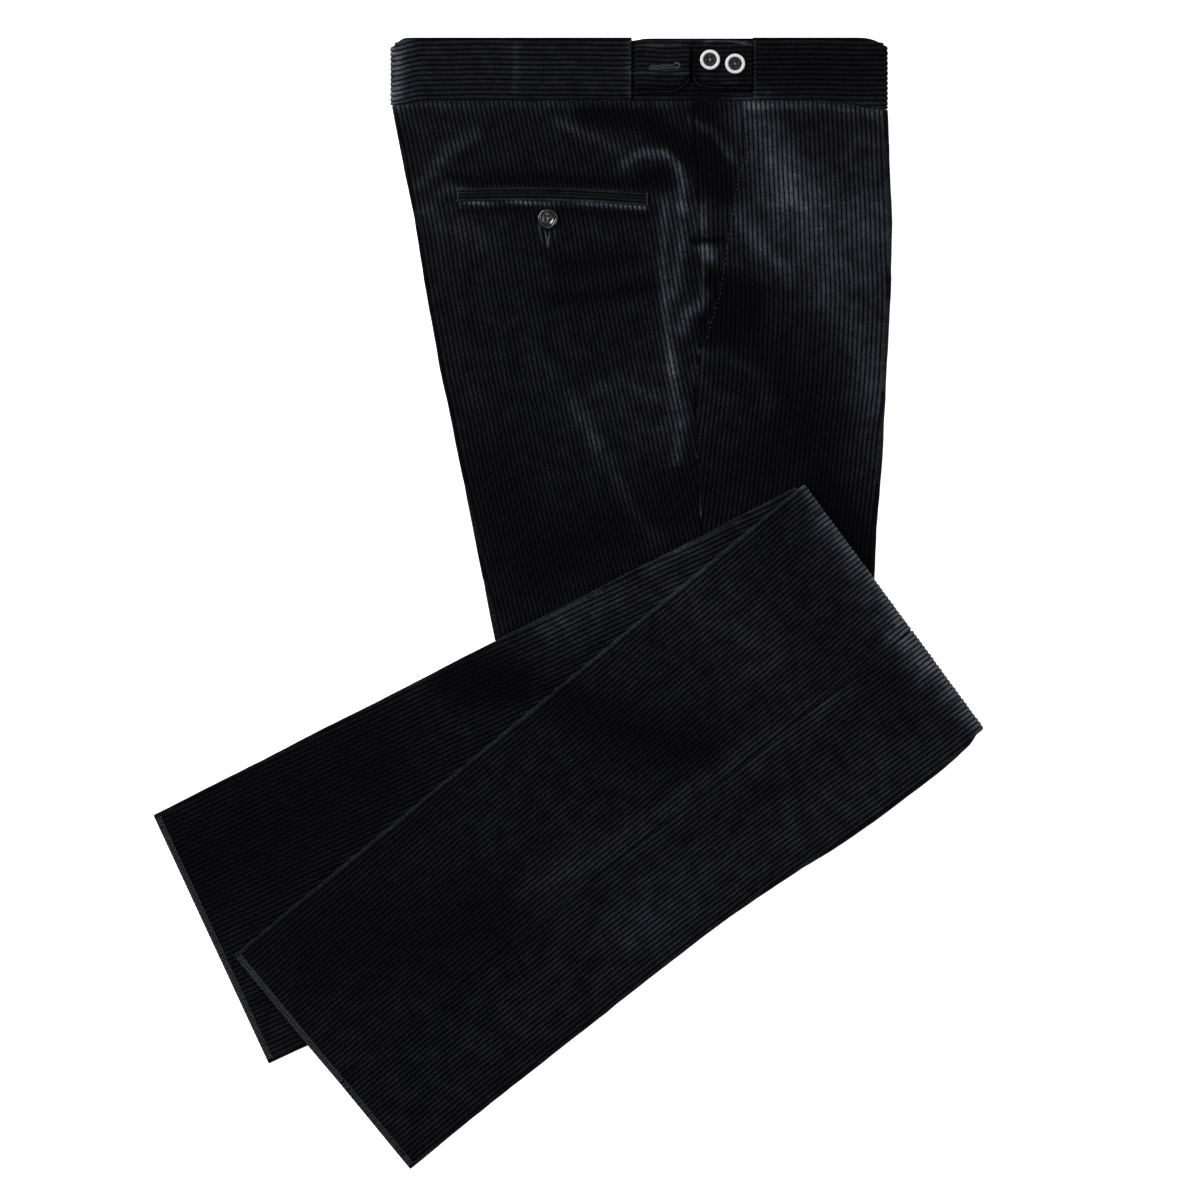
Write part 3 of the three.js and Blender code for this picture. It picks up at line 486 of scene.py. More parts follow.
def panel(name, origin, along, ends, left, right, top, rows, lines=None, pitch=WALE, wale=0.8,
          cloth=CLOTH, crease=None, radius=PAIR / 2, soft=(0.0, 0.0), fold=None, facing=1, wander=0.3,
          seed=0):
    """Corduroy between two edges: point = origin + c across + t along, raised by the wales.

    left, right and lines give c at t, ends give t at c, rows are shares of the way between the
    ends. A wale follows c = lines(t) + phase times pitch. crease is -1 or 1 for a turned left or
    right edge. fold has the turns and lips of the first rows, their radius and the way out. With
    facing -1 the wales are on the underside, and top gives the height of that side."""
    along = np.array(along, float) / np.hypot(*along)
    across = np.array([-along[1], along[0]])
    straight = lines or (lambda t: 0.0 * t)

    def lines(t):
        """The wale lines with a slow wander, the same for all wales of the panel."""
        return straight(t) + wander * (np.sin(t / 27 + seed) + 0.6 * np.sin(t / 11 + 2 * seed))

    shares = np.array(rows, float)[:, None]
    turns, lips = (np.array(fold[key] if fold else [], float) for key in ("turns", "lips"))
    shares = np.concatenate([np.full((len(turns), 1), shares[0, 0]), shares])
    turns = np.concatenate([turns, np.zeros(len(rows))])[:, None]
    lips = np.concatenate([lips, np.zeros(len(rows))])[:, None]

    mid = ends[0](0.0) + shares * (ends[1](0.0) - ends[0](0.0))
    first = math.floor(float(np.min(left(mid) - lines(mid))) / pitch) - 3
    last = math.ceil(float(np.max(right(mid) - lines(mid))) / pitch) + 3
    steps = np.arange((last - first) * COLUMNS + 1)[None, :] / COLUMNS + first
    c = np.clip(lines(mid) + steps * pitch, left(mid), right(mid))
    for _ in range(3):
        t = ends[0](c) + shares * (ends[1](c) - ends[0](c))
        c = np.clip(lines(t) + steps * pitch, left(t), right(t))

    angle = np.zeros_like(c)
    if crease:
        edge = (left if crease < 0 else right)(t)
        angle = on_crease((edge - c) * crease, radius)
        under = np.repeat(np.linspace(np.pi, np.pi / 2, COLUMNS + 1)[None, :-1], len(shares), 0)
        ends_c, ends_t = (np.repeat(a[:, :1] if crease < 0 else a[:, -1:], COLUMNS, 1) for a in (c, t))
        if crease < 0:
            c, t, angle = (np.concatenate(p, 1) for p in ((ends_c, c), (ends_t, t), (under, angle)))
        else:
            under = under[:, ::-1]
            c, t, angle = (np.concatenate(p, 1) for p in ((c, ends_c), (t, ends_t), (angle, under)))

    count = (c - lines(t)) / pitch
    if crease:
        # The wales go on round the crease at the same distance along the cloth.
        edge = (left if crease < 0 else right)(t)
        run = radius * (angle - np.pi / 2 + 1.0) * (angle > 0)
        turned_count = (edge - crease * (radius - run) - lines(t)) / pitch
        count = np.where(angle > 0, turned_count, count)
    # Every wale swells by a tenth in waves 57 mm long and by less in waves 21 mm long, out of step.
    shift = np.random.default_rng(seed).normal(0, 1, (2, RANDOM_WALES))
    number = np.floor(count).astype(int) % RANDOM_WALES
    uneven = 1 + 0.10 * np.sin(t / 9.1 + 2.1 * shift[0, number])
    uneven = uneven + 0.07 * np.sin(t / 3.3 + 5.0 * shift[1, number])
    height = wale_height(count)
    near = [c - left(t), right(t) - c]
    edges, drop = np.ones_like(c), np.zeros_like(c)
    for reach, gap in zip(soft, near):
        if reach:
            edges = edges * (0.45 + 0.55 * ease(gap / (1.5 * reach)))
            drop = drop + round_edges(gap, reach)
    raised = wale * height * uneven * edges

    def place(pick, up, under):
        """Points of the picked columns, raised by `up` and sunk by `under` from the outer face."""
        cc, tt, aa = c[:, pick], t[:, pick], angle[:, pick]
        depth = under - up
        if crease:
            edge = (left if crease < 0 else right)(tt)
            rolled = aa > 0
            into = radius - (radius - depth) * np.sin(aa)
            cc = np.where(rolled, edge - crease * into, cc)
            depth = np.where(rolled, radius - (radius - depth) * np.cos(aa), depth)
        x = origin[0] + cc * across[0] + tt * along[0]
        y = origin[1] + cc * across[1] + tt * along[1]
        high = top(x, y)
        z = high - facing * depth
        if fold:
            r = fold["radius"](x, y, high)
            a = np.radians(turns)
            out = np.where(turns > 0, (r - depth) * np.sin(a) - lips, 0.0)
            x, y = x + fold["out"][0] * out, y + fold["out"][1] * out
            z = np.where(turns > 0, high - r + (r - depth) * np.cos(a), z)
        return np.stack([x, y, np.maximum(z, 0.0)], 2)

    all_columns, some = slice(None), slice(None, None, COLUMNS)
    outer = place(all_columns, raised - drop, 0.0)
    inner = place(some, 0.0, cloth)
    grain = np.stack([count * pitch, t + 0.0 * c], 2)
    # The pile share, lower in each groove and near soft edges, darkens the colour there: painted shade.
    return shell(name, outer, inner, height * edges, grain)


# %% [markdown]
# Both lower legs are cut the same way. Each has its directions from its back crease: along the
# crease to the hem, and across to the front crease. Seam, front crease, fold and hem are straight
# lines in those directions, and the front crease bows a few millimetres as it was laid.

# %% Directions of the lower legs
def leg_lines(leg, bow):
    """Edges of a leg in its own directions, each a function of the distance along or across."""
    back, hem = np.array(leg["fold_back"]), np.array(leg["hem_back"])
    along = (hem - back) / np.hypot(*(hem - back))
    across = np.array([-along[1], along[0]])
    (front_c, front_t), (hem_c, hem_t) = (
        ((np.array(leg[key]) - back) @ across, (np.array(leg[key]) - back) @ along)
        for key in ("fold_front", "hem_front"))
    long = float((hem - back) @ along)

    def share(t):
        """Share of the way from the fold to the hem along the front crease."""
        return (t - front_t) / (hem_t - front_t)

    def straight(t):
        """The front crease without its bow."""
        return front_c + share(t) * (hem_c - front_c)

    return {
        "origin": back, "along": along, "long": long,
        "front": lambda t: straight(t) + np.interp(share(t), bow["at"], bow["out"]),
        "seam": lambda t: leg["seam"] * straight(t),
        "fold": lambda c: c / front_c * front_t,
        "hem": lambda c: long + c / hem_c * (hem_t - long),
    }


right_leg = leg_lines(RIGHT_LEG, FRONT_BOW)
left_leg = leg_lines(LEFT_LEG, {"at": [0, 1], "out": [0, 0]})
print("right lower leg", round(right_leg["long"]), "mm along its back crease")

# %% [markdown]
# The hip has two panels and a pocket facing. Their rows lie across the page and their columns run
# down it, at the slopes that the wales have in the photo. A slope in degrees becomes a sideways
# run by adding up its tangent from the waist down, here as a sum over millimetre steps.

# %% Hip panels
def waist_y(x):
    """Waist seam: level, 4 mm lower at the back crease and 7 mm lower at the front."""
    return WAIST_BOTTOM - 4 * ease((-108 - x) / 28) - 7 * ease((x - 196) / 50)


def fold_low(x):
    """Lower end of the thigh panels, 7 mm inside the hidden fold."""
    (bx, by), (fx, fy) = HIDDEN_FOLD.values()
    return by + (x - bx) / (fx - bx) * (fy - by) + 7


def leaning(table):
    """Sideways run of a wale at t down the page, from a table of its lean in degrees at heights y."""
    y = np.arange(450.0, -200.0, -1.0)
    lean = np.interp(-y, [-row[0] for row in table], [math.radians(90 - row[1]) for row in table])
    run = np.cumsum(np.tan(lean))
    return lambda t: np.interp(t, -y, run)


# Height on the page and lean of the wales there, in degrees from level.
BACK_LEAN = [(391, 78.5), (290, 80), (235, 80.3), (178, 79), (135, 77.7), (80, 76.3), (-40, 76)]
FRONT_LEAN = [
    (391, 87.2), (287, 87), (260, 87.5), (232, 91.5), (205, 93), (178, 94.5), (150, 95.5), (96, 96.5),
    (-40, 97),
]
slant_line = list(zip(SLANT["edge"], SLANT["y"]))


def front_z(x, y):
    """Front panel: the hip's face, standing up 0.9 mm along the pocket opening."""
    lift = np.exp(-(to_line(slant_line, x, y) / 9) ** 2) * ease((386 - y) / 20) * ease((y - 205) / 30)
    return hip_z(x, y) + 0.9 * lift


def facing_z(x, y):
    """Pocket facing: 1.9 mm lower than the hip's face once it is past the side seam."""
    return hip_z(x, y) - 1.9 * ease((x - read(HIP, "seam", y) + 2) / 5)


def slant_or_seam(t):
    """Left edge of the front panel: the pocket opening above y = 205, the side seam below."""
    seam = read(HIP, "seam", -t) + GAP
    return np.where(-t > 205, np.maximum(seam, read(SLANT, "edge", -t)), seam)


def rows(first, last, step):
    """Shares 0 to 1 of a length from first to last mm, about step mm apart."""
    return np.linspace(0, 1, int(abs(last - first) / step) + 2)


page = {"origin": (0.0, 0.0), "along": (0.0, -1.0)}
hip_ends = (lambda x: -(waist_y(x) - GAP), lambda x: -fold_low(x))
cloth_pieces = [
    panel("back_thigh_cloth", **page, ends=hip_ends, left=lambda t: read(HIP, "back", -t),
          right=lambda t: read(HIP, "seam", -t) - GAP, top=hip_z, rows=rows(391, -40, 3.6),
          lines=leaning(BACK_LEAN), crease=-1, radius=2.1, soft=(0, 1.0), seed=1),
    panel("front_thigh_cloth", **page, ends=hip_ends, left=slant_or_seam,
          right=lambda t: read(HIP, "front", -t), top=front_z, rows=rows(391, -150, 4.2),
          lines=leaning(FRONT_LEAN), crease=1, radius=2.1, soft=(1.0, 0), seed=2),
    panel("pocket_facing_cloth", **page, ends=(lambda x: -(waist_y(x) - GAP), lambda x: -203 + 0 * x),
          left=lambda t: read(HIP, "seam", -t), right=lambda t: read(SLANT, "edge", -t) + 7,
          top=facing_z, rows=rows(391, 203, 3.2), lines=leaning([(391, 85), (300, 88), (220, 91)]),
          cloth=CLOTH - 0.3, seed=3),
]

# %% [markdown]
# The lower legs drape over the thigh and down to the floor. Near the visible fold the cloth of the
# right leg starts down early, in a soft shoulder 34 mm wide, and then turns round under
# itself. The left leg lies below it, seen only where it fans out.

# %% Lower leg panels
fold_run = np.array(RIGHT_LEG["fold_front"]) - np.array(RIGHT_LEG["fold_back"])
FOLD_OUT = np.array([-fold_run[1], fold_run[0]]) / np.hypot(*fold_run)
FOLD_START = 8.0 / 575.0
SHOULDER, SHOULDER_DROP = 34.0, 3.4


def from_fold(x, y):
    """Distance inside the visible fold's edge line."""
    bx, by = RIGHT_LEG["fold_back"]
    return (bx - x) * FOLD_OUT[0] + (by - y) * FOLD_OUT[1]


def right_top(x, y):
    """Outer face of the right leg, with the shoulder before the fold: a quarter ellipse 3.4 mm high."""
    near = np.clip((from_fold(x, y) - 6) / SHOULDER, 0, 1)
    return right_lift(x, y) + PAIR - SHOULDER_DROP * (1 - np.sqrt(1 - (1 - near) ** 2))


def fold_radius(x, y, high):
    """Half the height between the thigh and the outer face."""
    return (high - thigh_lift(x, y)) / 2


leg_fold = {
    "turns": [180, 180, 165, 150, 135, 120, 105, 90, 75, 60, 45, 30, 15],
    "lips": [11] + [0] * 12, "radius": fold_radius, "out": FOLD_OUT,
}


def leg_ends(leg, start):
    """Rows of a leg run from the fold's start, as a share of the leg, to the hem."""
    return (lambda c: leg["fold"](c) + start * (leg["hem"](c) - leg["fold"](c)), leg["hem"])


def swing(table):
    """Sideways run of a leg's wales at t, from slopes in degrees against its back crease."""
    t = np.arange(-20.0, 640.0)
    run = np.cumsum(-np.tan(np.radians(np.interp(t, [r[0] for r in table], [r[1] for r in table]))))
    return lambda at: np.interp(at, t, run)


def left_top(x, y):
    """Outer face of the left leg."""
    return left_lift(x, y) + PAIR


right_frame = {"origin": right_leg["origin"], "along": right_leg["along"]}
left_frame = {"origin": left_leg["origin"], "along": left_leg["along"]}


def zero(t):
    """The back crease, which every leg is measured from."""
    return 0.0 * t


cloth_pieces += [
    panel("right_back_calf_cloth", **right_frame, ends=leg_ends(right_leg, FOLD_START), left=zero,
          right=lambda t: right_leg["seam"](t) - GAP / 2, top=right_top, rows=rows(0, 575, 4.6),
          wale=0.7, crease=-1, soft=(0, 0.6), fold=leg_fold, seed=4),
    panel("right_front_calf_cloth", **right_frame, ends=leg_ends(right_leg, FOLD_START),
          left=lambda t: right_leg["seam"](t) + GAP / 2, right=right_leg["front"], top=right_top,
          rows=rows(0, 575, 4.6), lines=swing([(0, 4.4), (120, 3.2), (300, 1.8), (575, 0.6)]),
          wale=0.9, crease=1, soft=(0.6, 0), fold=leg_fold, seed=5),
    panel("left_back_calf_cloth", **left_frame, ends=leg_ends(left_leg, 0.0), left=zero,
          right=lambda t: left_leg["seam"](t) - GAP / 2, top=left_top, rows=rows(0, 561, 5.2),
          lines=swing([(0, 1.7), (575, 1.7)]), crease=-1, soft=(0, 0.9), seed=6),
    panel("left_front_calf_cloth", **left_frame, ends=leg_ends(left_leg, 0.0),
          left=lambda t: left_leg["seam"](t) + GAP / 2, right=left_leg["front"], top=left_top,
          rows=np.r_[np.linspace(0, 0.7, 24), np.linspace(0.7, 1, 34)[1:]],
          lines=swing([(0, 1.7), (575, 1.7)]), crease=1, soft=(0.9, 0), seed=7),
]

# %% [markdown]
# The hidden halves of the lower legs lie face down inside the creases. They show at the hems and
# from below, so they are panels too, with their wales on the underside and longer squares.

# %% Hidden halves of the lower legs
def inside(edge, sign):
    """An edge moved in by the crease's radius."""
    return lambda t: edge(t) + sign * (PAIR / 2 + 0.1)


WALE_UNDER = 0.7
LAYER = LINER - WALE_UNDER - 0.1
for name, frame_of, leg, start, lift, bend, seed in (
    ("right_leg_under_cloth", right_frame, right_leg, FOLD_START, right_lift, 0.0, 8),
    ("left_leg_under_cloth", left_frame, left_leg, 0.0, left_lift, 1.7, 9),
):
    cloth_pieces.append(panel(
        name, **frame_of, ends=leg_ends(leg, start), left=inside(zero, 1), right=inside(leg["front"], -1),
        top=lambda x, y, lift=lift: lift(x, y) + WALE_UNDER + 0.1, rows=rows(0, 575, 11),
        lines=swing([(0, bend), (575, bend)]), wale=WALE_UNDER, cloth=LAYER, facing=-1, seed=seed))

# %% [markdown]
# The waistband is cut along the cloth, so its wales run level. Its two ends at the back and front
# creases are turned like the visible fold of the legs. Between them the side adjuster has a piece
# of covered elastic, a tab with a buttonhole and a tab with two buttons.

# %% Waistband and side adjuster
def band_top(x):
    """Upper edge of the band, with a round corner at the back and at the front crease."""
    def corner(share, drop):
        """Quarter of an ellipse, `drop` mm low at its end."""
        return drop * (1 - np.sqrt(1 - np.clip(share, 0, 1) ** 2))

    return WAIST_TOP - corner((-124 - x) / 13.7, 17) - corner((x - 226) / 22.4, 12)


def level(height):
    """A height that is the same all over."""
    return lambda x, y: height + 0.0 * x


def ends_at(first, last):
    """Ends of a panel that lie straight across it."""
    return (lambda c: first + 0 * c, lambda c: last + 0 * c)


BAND_WALE = 3.9
BAND_RADIUS = 2.75
BAND_BACK, ELASTIC_LEFT, ELASTIC_RIGHT, BAND_FRONT = -137.6, 49.7, 143.8, 248.3
band_z = HIP_CORE + GAP + BAND_CLOTH
band_turn = {
    "turns": [180, 165, 150, 135, 120, 105, 90, 75, 60, 45, 30, 15], "lips": [0] * 12,
    "radius": lambda x, y, high: BAND_RADIUS + 0.0 * x,
}


def band_back_lines(t):
    """Wales of the back part run level and fall a little towards the turned end."""
    return WAIST_BOTTOM - 5.0 * ease((-112 - t) / 26)


cloth_pieces += [
    panel("waistband_back_cloth", (0, 0), (1, 0), ends_at(BAND_BACK + BAND_RADIUS, ELASTIC_LEFT),
          left=lambda t: waist_y(t) + GAP / 2, right=band_top, top=level(band_z), rows=rows(0, 187, 3),
          lines=band_back_lines, pitch=BAND_WALE, cloth=BAND_CLOTH, soft=(0.9, 1.6),
          fold={**band_turn, "out": (-1.0, 0.0)}, seed=10),
    panel("waistband_front_cloth", (0, 0), (-1, 0), ends_at(-(BAND_FRONT - BAND_RADIUS), -ELASTIC_RIGHT),
          left=lambda t: -band_top(-t), right=lambda t: -(waist_y(-t) + GAP / 2), top=level(band_z),
          rows=rows(0, 104, 3), lines=lambda t: -WAIST_BOTTOM + 0 * t, pitch=BAND_WALE,
          cloth=BAND_CLOTH, soft=(1.6, 0.9), fold={**band_turn, "out": (1.0, 0.0)}, seed=11),
]

ELASTIC_THICK, TAB = 1.4, 1.9
elastic_z = HIP_CORE + GAP + ELASTIC_THICK
HOLE_TAB = {
    "x": [52.8, 66, 80, 84.5, 90, 94.6], "low": [397.2, 397.4, 398, 398.6, 402.6, 408],
    "high": [434.6, 434.8, 434.9, 434.8, 434.4, 433.4],
}
BUTTON_TAB = {
    "x": [97.8, 99.2, 102.5, 110, 127, 143.2], "low": [409.5, 405.4, 402.4, 401.2, 400.6, 400.4],
    "high": [430, 434.2, 436.8, 437.4, 436.2, 434],
}


def rucked(x, y):
    """Covered elastic: flat, drawn into small upright rucks between the two tabs."""
    near = np.exp(-((x - 96) / 9) ** 2)
    return elastic_z - 0.25 + 0.25 * near * np.sin(x / 1.1 + 0.06 * y)


def tab_z(table, swell):
    """Upper face of a tab, domed across by `swell`, with shallow dents."""
    def z(x, y):
        """Height at a place: a half sine from the tab's lower to its upper edge."""
        low, high = read(table, "low", x), read(table, "high", x)
        share = np.clip((y - low) / (high - low), 0, 1)
        dents = 0.15 * np.sin(x / 6.1) * np.sin(y / 4.7)
        return elastic_z + GAP + TAB + swell * np.sin(np.pi * share) + dents

    return z


def tab(name, table, swell, wave, seed):
    """A tab of folded cloth with level, slightly wavy wales."""
    return panel(
        name, (0, 0), (1, 0), ends_at(table["x"][0], table["x"][-1]),
        left=lambda t: read(table, "low", t), right=lambda t: read(table, "high", t),
        top=tab_z(table, swell), rows=rows(0, table["x"][-1] - table["x"][0], 1.4),
        lines=lambda t: WAIST_BOTTOM + wave * np.sin(t / 7.0), pitch=WALE, wale=0.7,
        cloth=TAB, soft=(0.8, 0.8), seed=seed)


cloth_pieces += [
    panel("adjuster_elastic_cloth", (0, 0), (1, 0), ends_at(ELASTIC_LEFT + 0.04, ELASTIC_RIGHT - 0.04),
          left=lambda t: waist_y(t) + GAP / 2,
          right=lambda t: WAIST_TOP - 0.6 - 1.7 * np.exp(-((t - 50) / 7) ** 2), top=rucked,
          rows=rows(0, 94, 0.9), lines=lambda t: WAIST_BOTTOM + 0 * t, wale=0.55,
          cloth=ELASTIC_THICK - 0.3, soft=(0.5, 0.9), seed=12),
    tab("adjuster_tab_cloth", HOLE_TAB, 0.9, 0.6, 13),
    tab("adjuster_button_tab_cloth", BUTTON_TAB, 0.5, 0.3, 14),
]

# %% [markdown]
# The hip pocket is a slit with two narrow jets, strips of the same cloth with the wales along
# them. They stand a millimetre above the panel, whose own wales end at them in a row of round tips.

# %% Pocket jets
JETS = {"left": -86.6, "right": 62.4, "y": 317.1, "drop": -3.6, "arch": 2.4, "thick": 1.1}


def jet_line(x):
    """The slit between the jets: falls 3.6 mm to the right, arched by 2.4 mm."""
    share = np.clip((x - JETS["left"]) / (JETS["right"] - JETS["left"]), 0, 1)
    return JETS["y"] + JETS["drop"] * share + JETS["arch"] * np.sin(np.pi * share)


def jet_z(x, y):
    """Upper face of the jets, on the hip's face."""
    return hip_z(x, y) + GAP + 0.1 + JETS["thick"] - 0.3


for name, low, high, seed in (
    ("pocket_jet_upper_cloth", 0.15, 5.1, 15), ("pocket_jet_lower_cloth", -5.1, -0.15, 16),
):
    cloth_pieces.append(panel(
        name, (0, 0), (1, 0), ends_at(JETS["left"], JETS["right"]),
        left=lambda t, low=low: jet_line(t) + low, right=lambda t, high=high: jet_line(t) + high,
        top=jet_z, rows=rows(0, 149, 2.0), lines=lambda t, low=low: jet_line(t) + low,
        pitch=2.7, wale=0.5, cloth=JETS["thick"] - 0.3, soft=(0.4, 0.4), wander=0.0, seed=seed))

# %% [markdown]
# Four more layers make the height of the hip: the left half, with its own creases, and the pocket
# bags. They show only at the sides, as a second rolled edge under the first, so one rounded body
# stands for them: a grid on top, a ring profile carried round its rim, and a level underside.

# %% Hidden layers of the hip and between the folds
def rim_of(count_j, count_i):
    """Numbers of a grid's rim points in order round it."""
    at = np.arange(count_j * count_i).reshape(count_j, count_i)
    return np.concatenate([at[0, :-1], at[:-1, -1], at[-1, :0:-1], at[:0:-1, 0]])


def layered(name, plan, top, bottom, profile):
    """Closed body over a plan grid: rings stand `out` mm outside its rim at a share of the height."""
    count_j, count_i = plan.shape[:2]
    flat = plan.reshape(-1, 2)
    rim = rim_of(count_j, count_i)
    loop = flat[rim]
    run = np.roll(loop, -1, 0) - np.roll(loop, 1, 0)
    turn = np.sign(np.sum(loop[:, 0] * np.roll(loop[:, 1], -1) - np.roll(loop[:, 0], -1) * loop[:, 1]))
    outward = turn * np.stack([run[:, 1], -run[:, 0]], 1) / np.hypot(run[:, 0], run[:, 1])[:, None]
    points = [np.c_[flat, top(flat[:, 0], flat[:, 1])]]
    faces = [grid_triangles(count_j, count_i, 0, False)]
    upper, base = rim, len(flat)
    low_rim = bottom(loop[:, 0], loop[:, 1])
    for out, down in profile:
        place = loop + outward * out
        ring = base + np.arange(len(loop))
        high = top(loop[:, 0], loop[:, 1])
        points.append(np.c_[place, high + (low_rim - high) * down])
        a, b, c, d = upper, np.roll(upper, -1), np.roll(ring, -1), ring
        faces += [np.stack([a, c, b], 1), np.stack([a, d, c], 1)]
        upper, base = ring, base + len(loop)
    points.append(np.c_[flat, bottom(flat[:, 0], flat[:, 1])])
    low = base + rim
    a, b, c, d = upper, np.roll(upper, -1), np.roll(low, -1), low
    faces += [np.stack([a, c, b], 1), np.stack([a, d, c], 1), grid_triangles(count_j, count_i, base, True)]
    points = np.concatenate(points)
    return write_mesh(name, points, np.concatenate(faces), np.full(len(points), 0.6), points[:, :2])


HIP_INSET = 4.6
v = np.linspace(0, 1, 111)[:, None]
u = np.linspace(0, 1, 61)[None, :]
hip_top_y = WAIST_TOP - 1.5 - HIP_INSET
edge_y = [hip_top_y + v * (point[1] + HIP_INSET - hip_top_y) for point in HIDDEN_FOLD.values()]
edge_x = [read(HIP, "back", edge_y[0]) + HIP_INSET, read(HIP, "front", edge_y[1]) - HIP_INSET]
hip_plan = np.stack([edge_x[0] + (edge_x[1] - edge_x[0]) * u, edge_y[0] + (edge_y[1] - edge_y[0]) * u], 2)


def hip_core_top(x, y):
    """Upper face of the hidden layers: lower under the pocket facing and under the hollows."""
    facing = [(97, 400)] + [(edge + 9, y_at) for edge, y_at in slant_line]
    facing += [(104, 200), (104.5, 252), (103, 299), (99.5, 345)]
    pocket = 2.3 * (1 - ease((to_outline(facing, x, y) - 8) / 26)) * ease((396 - y) / 8)
    hollow = sum(1.5 * high * np.exp(-((x - cx) / wide / 2) ** 2 - ((y - cy) / tall / 2) ** 2)
                 for high, cx, cy, wide, tall in SWELLS if high < 0)
    return HIP_CORE + hollow - pocket


bead = np.radians(np.linspace(78, -90, 10))
hip_profile = [(0.6, 0.36), (1.2, 0.44)]
hip_profile += [(2.2 + 1.7 * math.cos(a), 1 - (1.85 + 1.85 * math.sin(a)) / HIP_CORE) for a in bead]
hip_under = layered("folded_layers_hip_cloth", hip_plan, hip_core_top, lambda x, y: 0.0 * x, hip_profile)

knee_mid = np.array([131.0, -55.0])
corner = [np.array(p, float) for p in KNEE]
w = np.linspace(0, 1, 41)
head = corner[0] + w[:, None] * (corner[3] - corner[0])
foot = corner[1] + w[:, None] * (corner[2] - corner[1])
knee_plan = head[None, :, :] + np.linspace(0, 1, 45)[:, None, None] * (foot - head)[None, :, :]
knee_plan = knee_mid + (1 - 5 / 110) * (knee_plan - knee_mid)


def knee_bottom(x, y):
    """Underside: on the thigh, and above the turned-under lip near the visible fold."""
    return thigh_lift(x, y) + (CLOTH + GAP) * (1 - ease((from_fold(x, y) - 22) / 14))


knee_down = np.linspace(0.04, 0.96, 33)
knee_out = 0.9 + 2.7 * np.sqrt(np.abs(np.sin(4 * np.pi * knee_down)))
knee_under = layered(
    "folded_layers_knee_cloth", knee_plan, lambda x, y: thigh_lift(x, y) + KNEE_LIFT - 0.6, knee_bottom,
    list(zip(knee_out, knee_down)))

# %% [markdown]
# Buttons are turned on a lathe, so a profile of radius and height is carried round an axis. The
# four sewing holes are pits in the same surface: the height drops where a point lies close to a
# hole's centre. The thread that holds them is a short arched tube from hole to hole.

# %% Buttons
# The dome of the button tab, the shank of thread under a button, and the sewing holes.
TAB_DOME, SHANK = 0.55, 0.5
HOLES_OUT, HOLE_RADIUS = 2.1, 1.05
WAIST_BUTTONS = [(110.4, 422.0), (129.9, 418.9)]


def turned(name, place, profile, pits=(), pit=0.8, deep=1.0, turns=72):
    """Surface of revolution closed at its axis or into a ring, less a cone at each hole.

    The point attribute hole is 1 well inside a cone and 0 outside it."""
    profile = np.array(profile, float)
    a = np.linspace(0, 2 * np.pi, turns, endpoint=False)
    x = profile[:, :1] * np.cos(a)[None, :]
    y = profile[:, :1] * np.sin(a)[None, :]
    z = profile[:, 1:] + 0.0 * x
    upper = np.arange(len(profile))[:, None] < np.argmax(profile[:, 0])
    hole = np.zeros_like(x)
    for px, py in pits:
        share = np.hypot(x - px, y - py) / pit
        z = z - deep * upper * np.clip(1.1 - share, 0, 1)
        hole = np.maximum(hole, upper * np.clip(3.3 - 3 * share, 0, 1))
    points = np.stack([x + place[0], y + place[1], z + place[2], hole], 2)
    points = np.concatenate([points, points[:, :1]], 1).reshape(-1, 4)
    faces = grid_triangles(len(profile), turns + 1, 0, False)
    return write_mesh(name, points[:, :3], faces, hole=points[:, 3])


def holes(apart, turn):
    """Centres of four holes on a circle."""
    return [(apart * math.cos(math.radians(turn + q)), apart * math.sin(math.radians(turn + q)))
            for q in (0, 90, 180, 270)]


def tubes(name, starts, stops, rise, thick, sides=6, steps=7):
    """Threads: an arch from start to stop, rise times the sine, with a round cut that ends in a point."""
    a, b = np.array(starts, float), np.array(stops, float)
    s = np.linspace(0, 1, steps)[None, :, None]
    rise = np.broadcast_to(np.asarray(rise, float), len(a))[:, None, None]
    line = a[:, None] + (b - a)[:, None] * s
    line = line + np.array([0, 0, 1.0]) * rise * np.sin(np.pi * s)
    run = np.gradient(line, axis=1)
    run /= np.linalg.norm(run, axis=2, keepdims=True)
    side = np.cross(run, [0, 0, 1.0])
    side /= np.linalg.norm(side, axis=2, keepdims=True)
    up = np.cross(side, run)
    radius = thick / 2 * np.sqrt(np.clip(1 - (2 * s - 1) ** 4, 0, 1))
    turn = np.linspace(0, 2 * np.pi, sides + 1)[None, None, :, None]
    points = line[:, :, None] + radius[..., None] * (
        side[:, :, None] * np.cos(turn) + up[:, :, None] * np.sin(turn))
    count = steps * (sides + 1)
    one = grid_triangles(steps, sides + 1, 0, False)
    faces = (one[None] + (np.arange(len(a)) * count)[:, None, None]).reshape(-1, 3)
    return write_mesh(name, points.reshape(-1, 3), faces)


def crossed(place, pits, height):
    """Two crossed threads from hole to hole, which end at 0.7 of the way out to the holes."""
    ends = [(place[0] + 0.7 * px, place[1] + 0.7 * py, height) for px, py in pits]
    return [(ends[0], ends[2]), (ends[1], ends[3])]


def dish(inner, rim, base):
    """Half cut of a button's middle, from the axis out: a shallow dish that rises to its rim."""
    r = np.linspace(0, inner, 26)
    z = base + (rim - base) * ease((r / inner - 0.62) / 0.38)
    return [*zip(r, z), (inner, 0.12), (inner - 0.3, 0.0), (0, 0)]


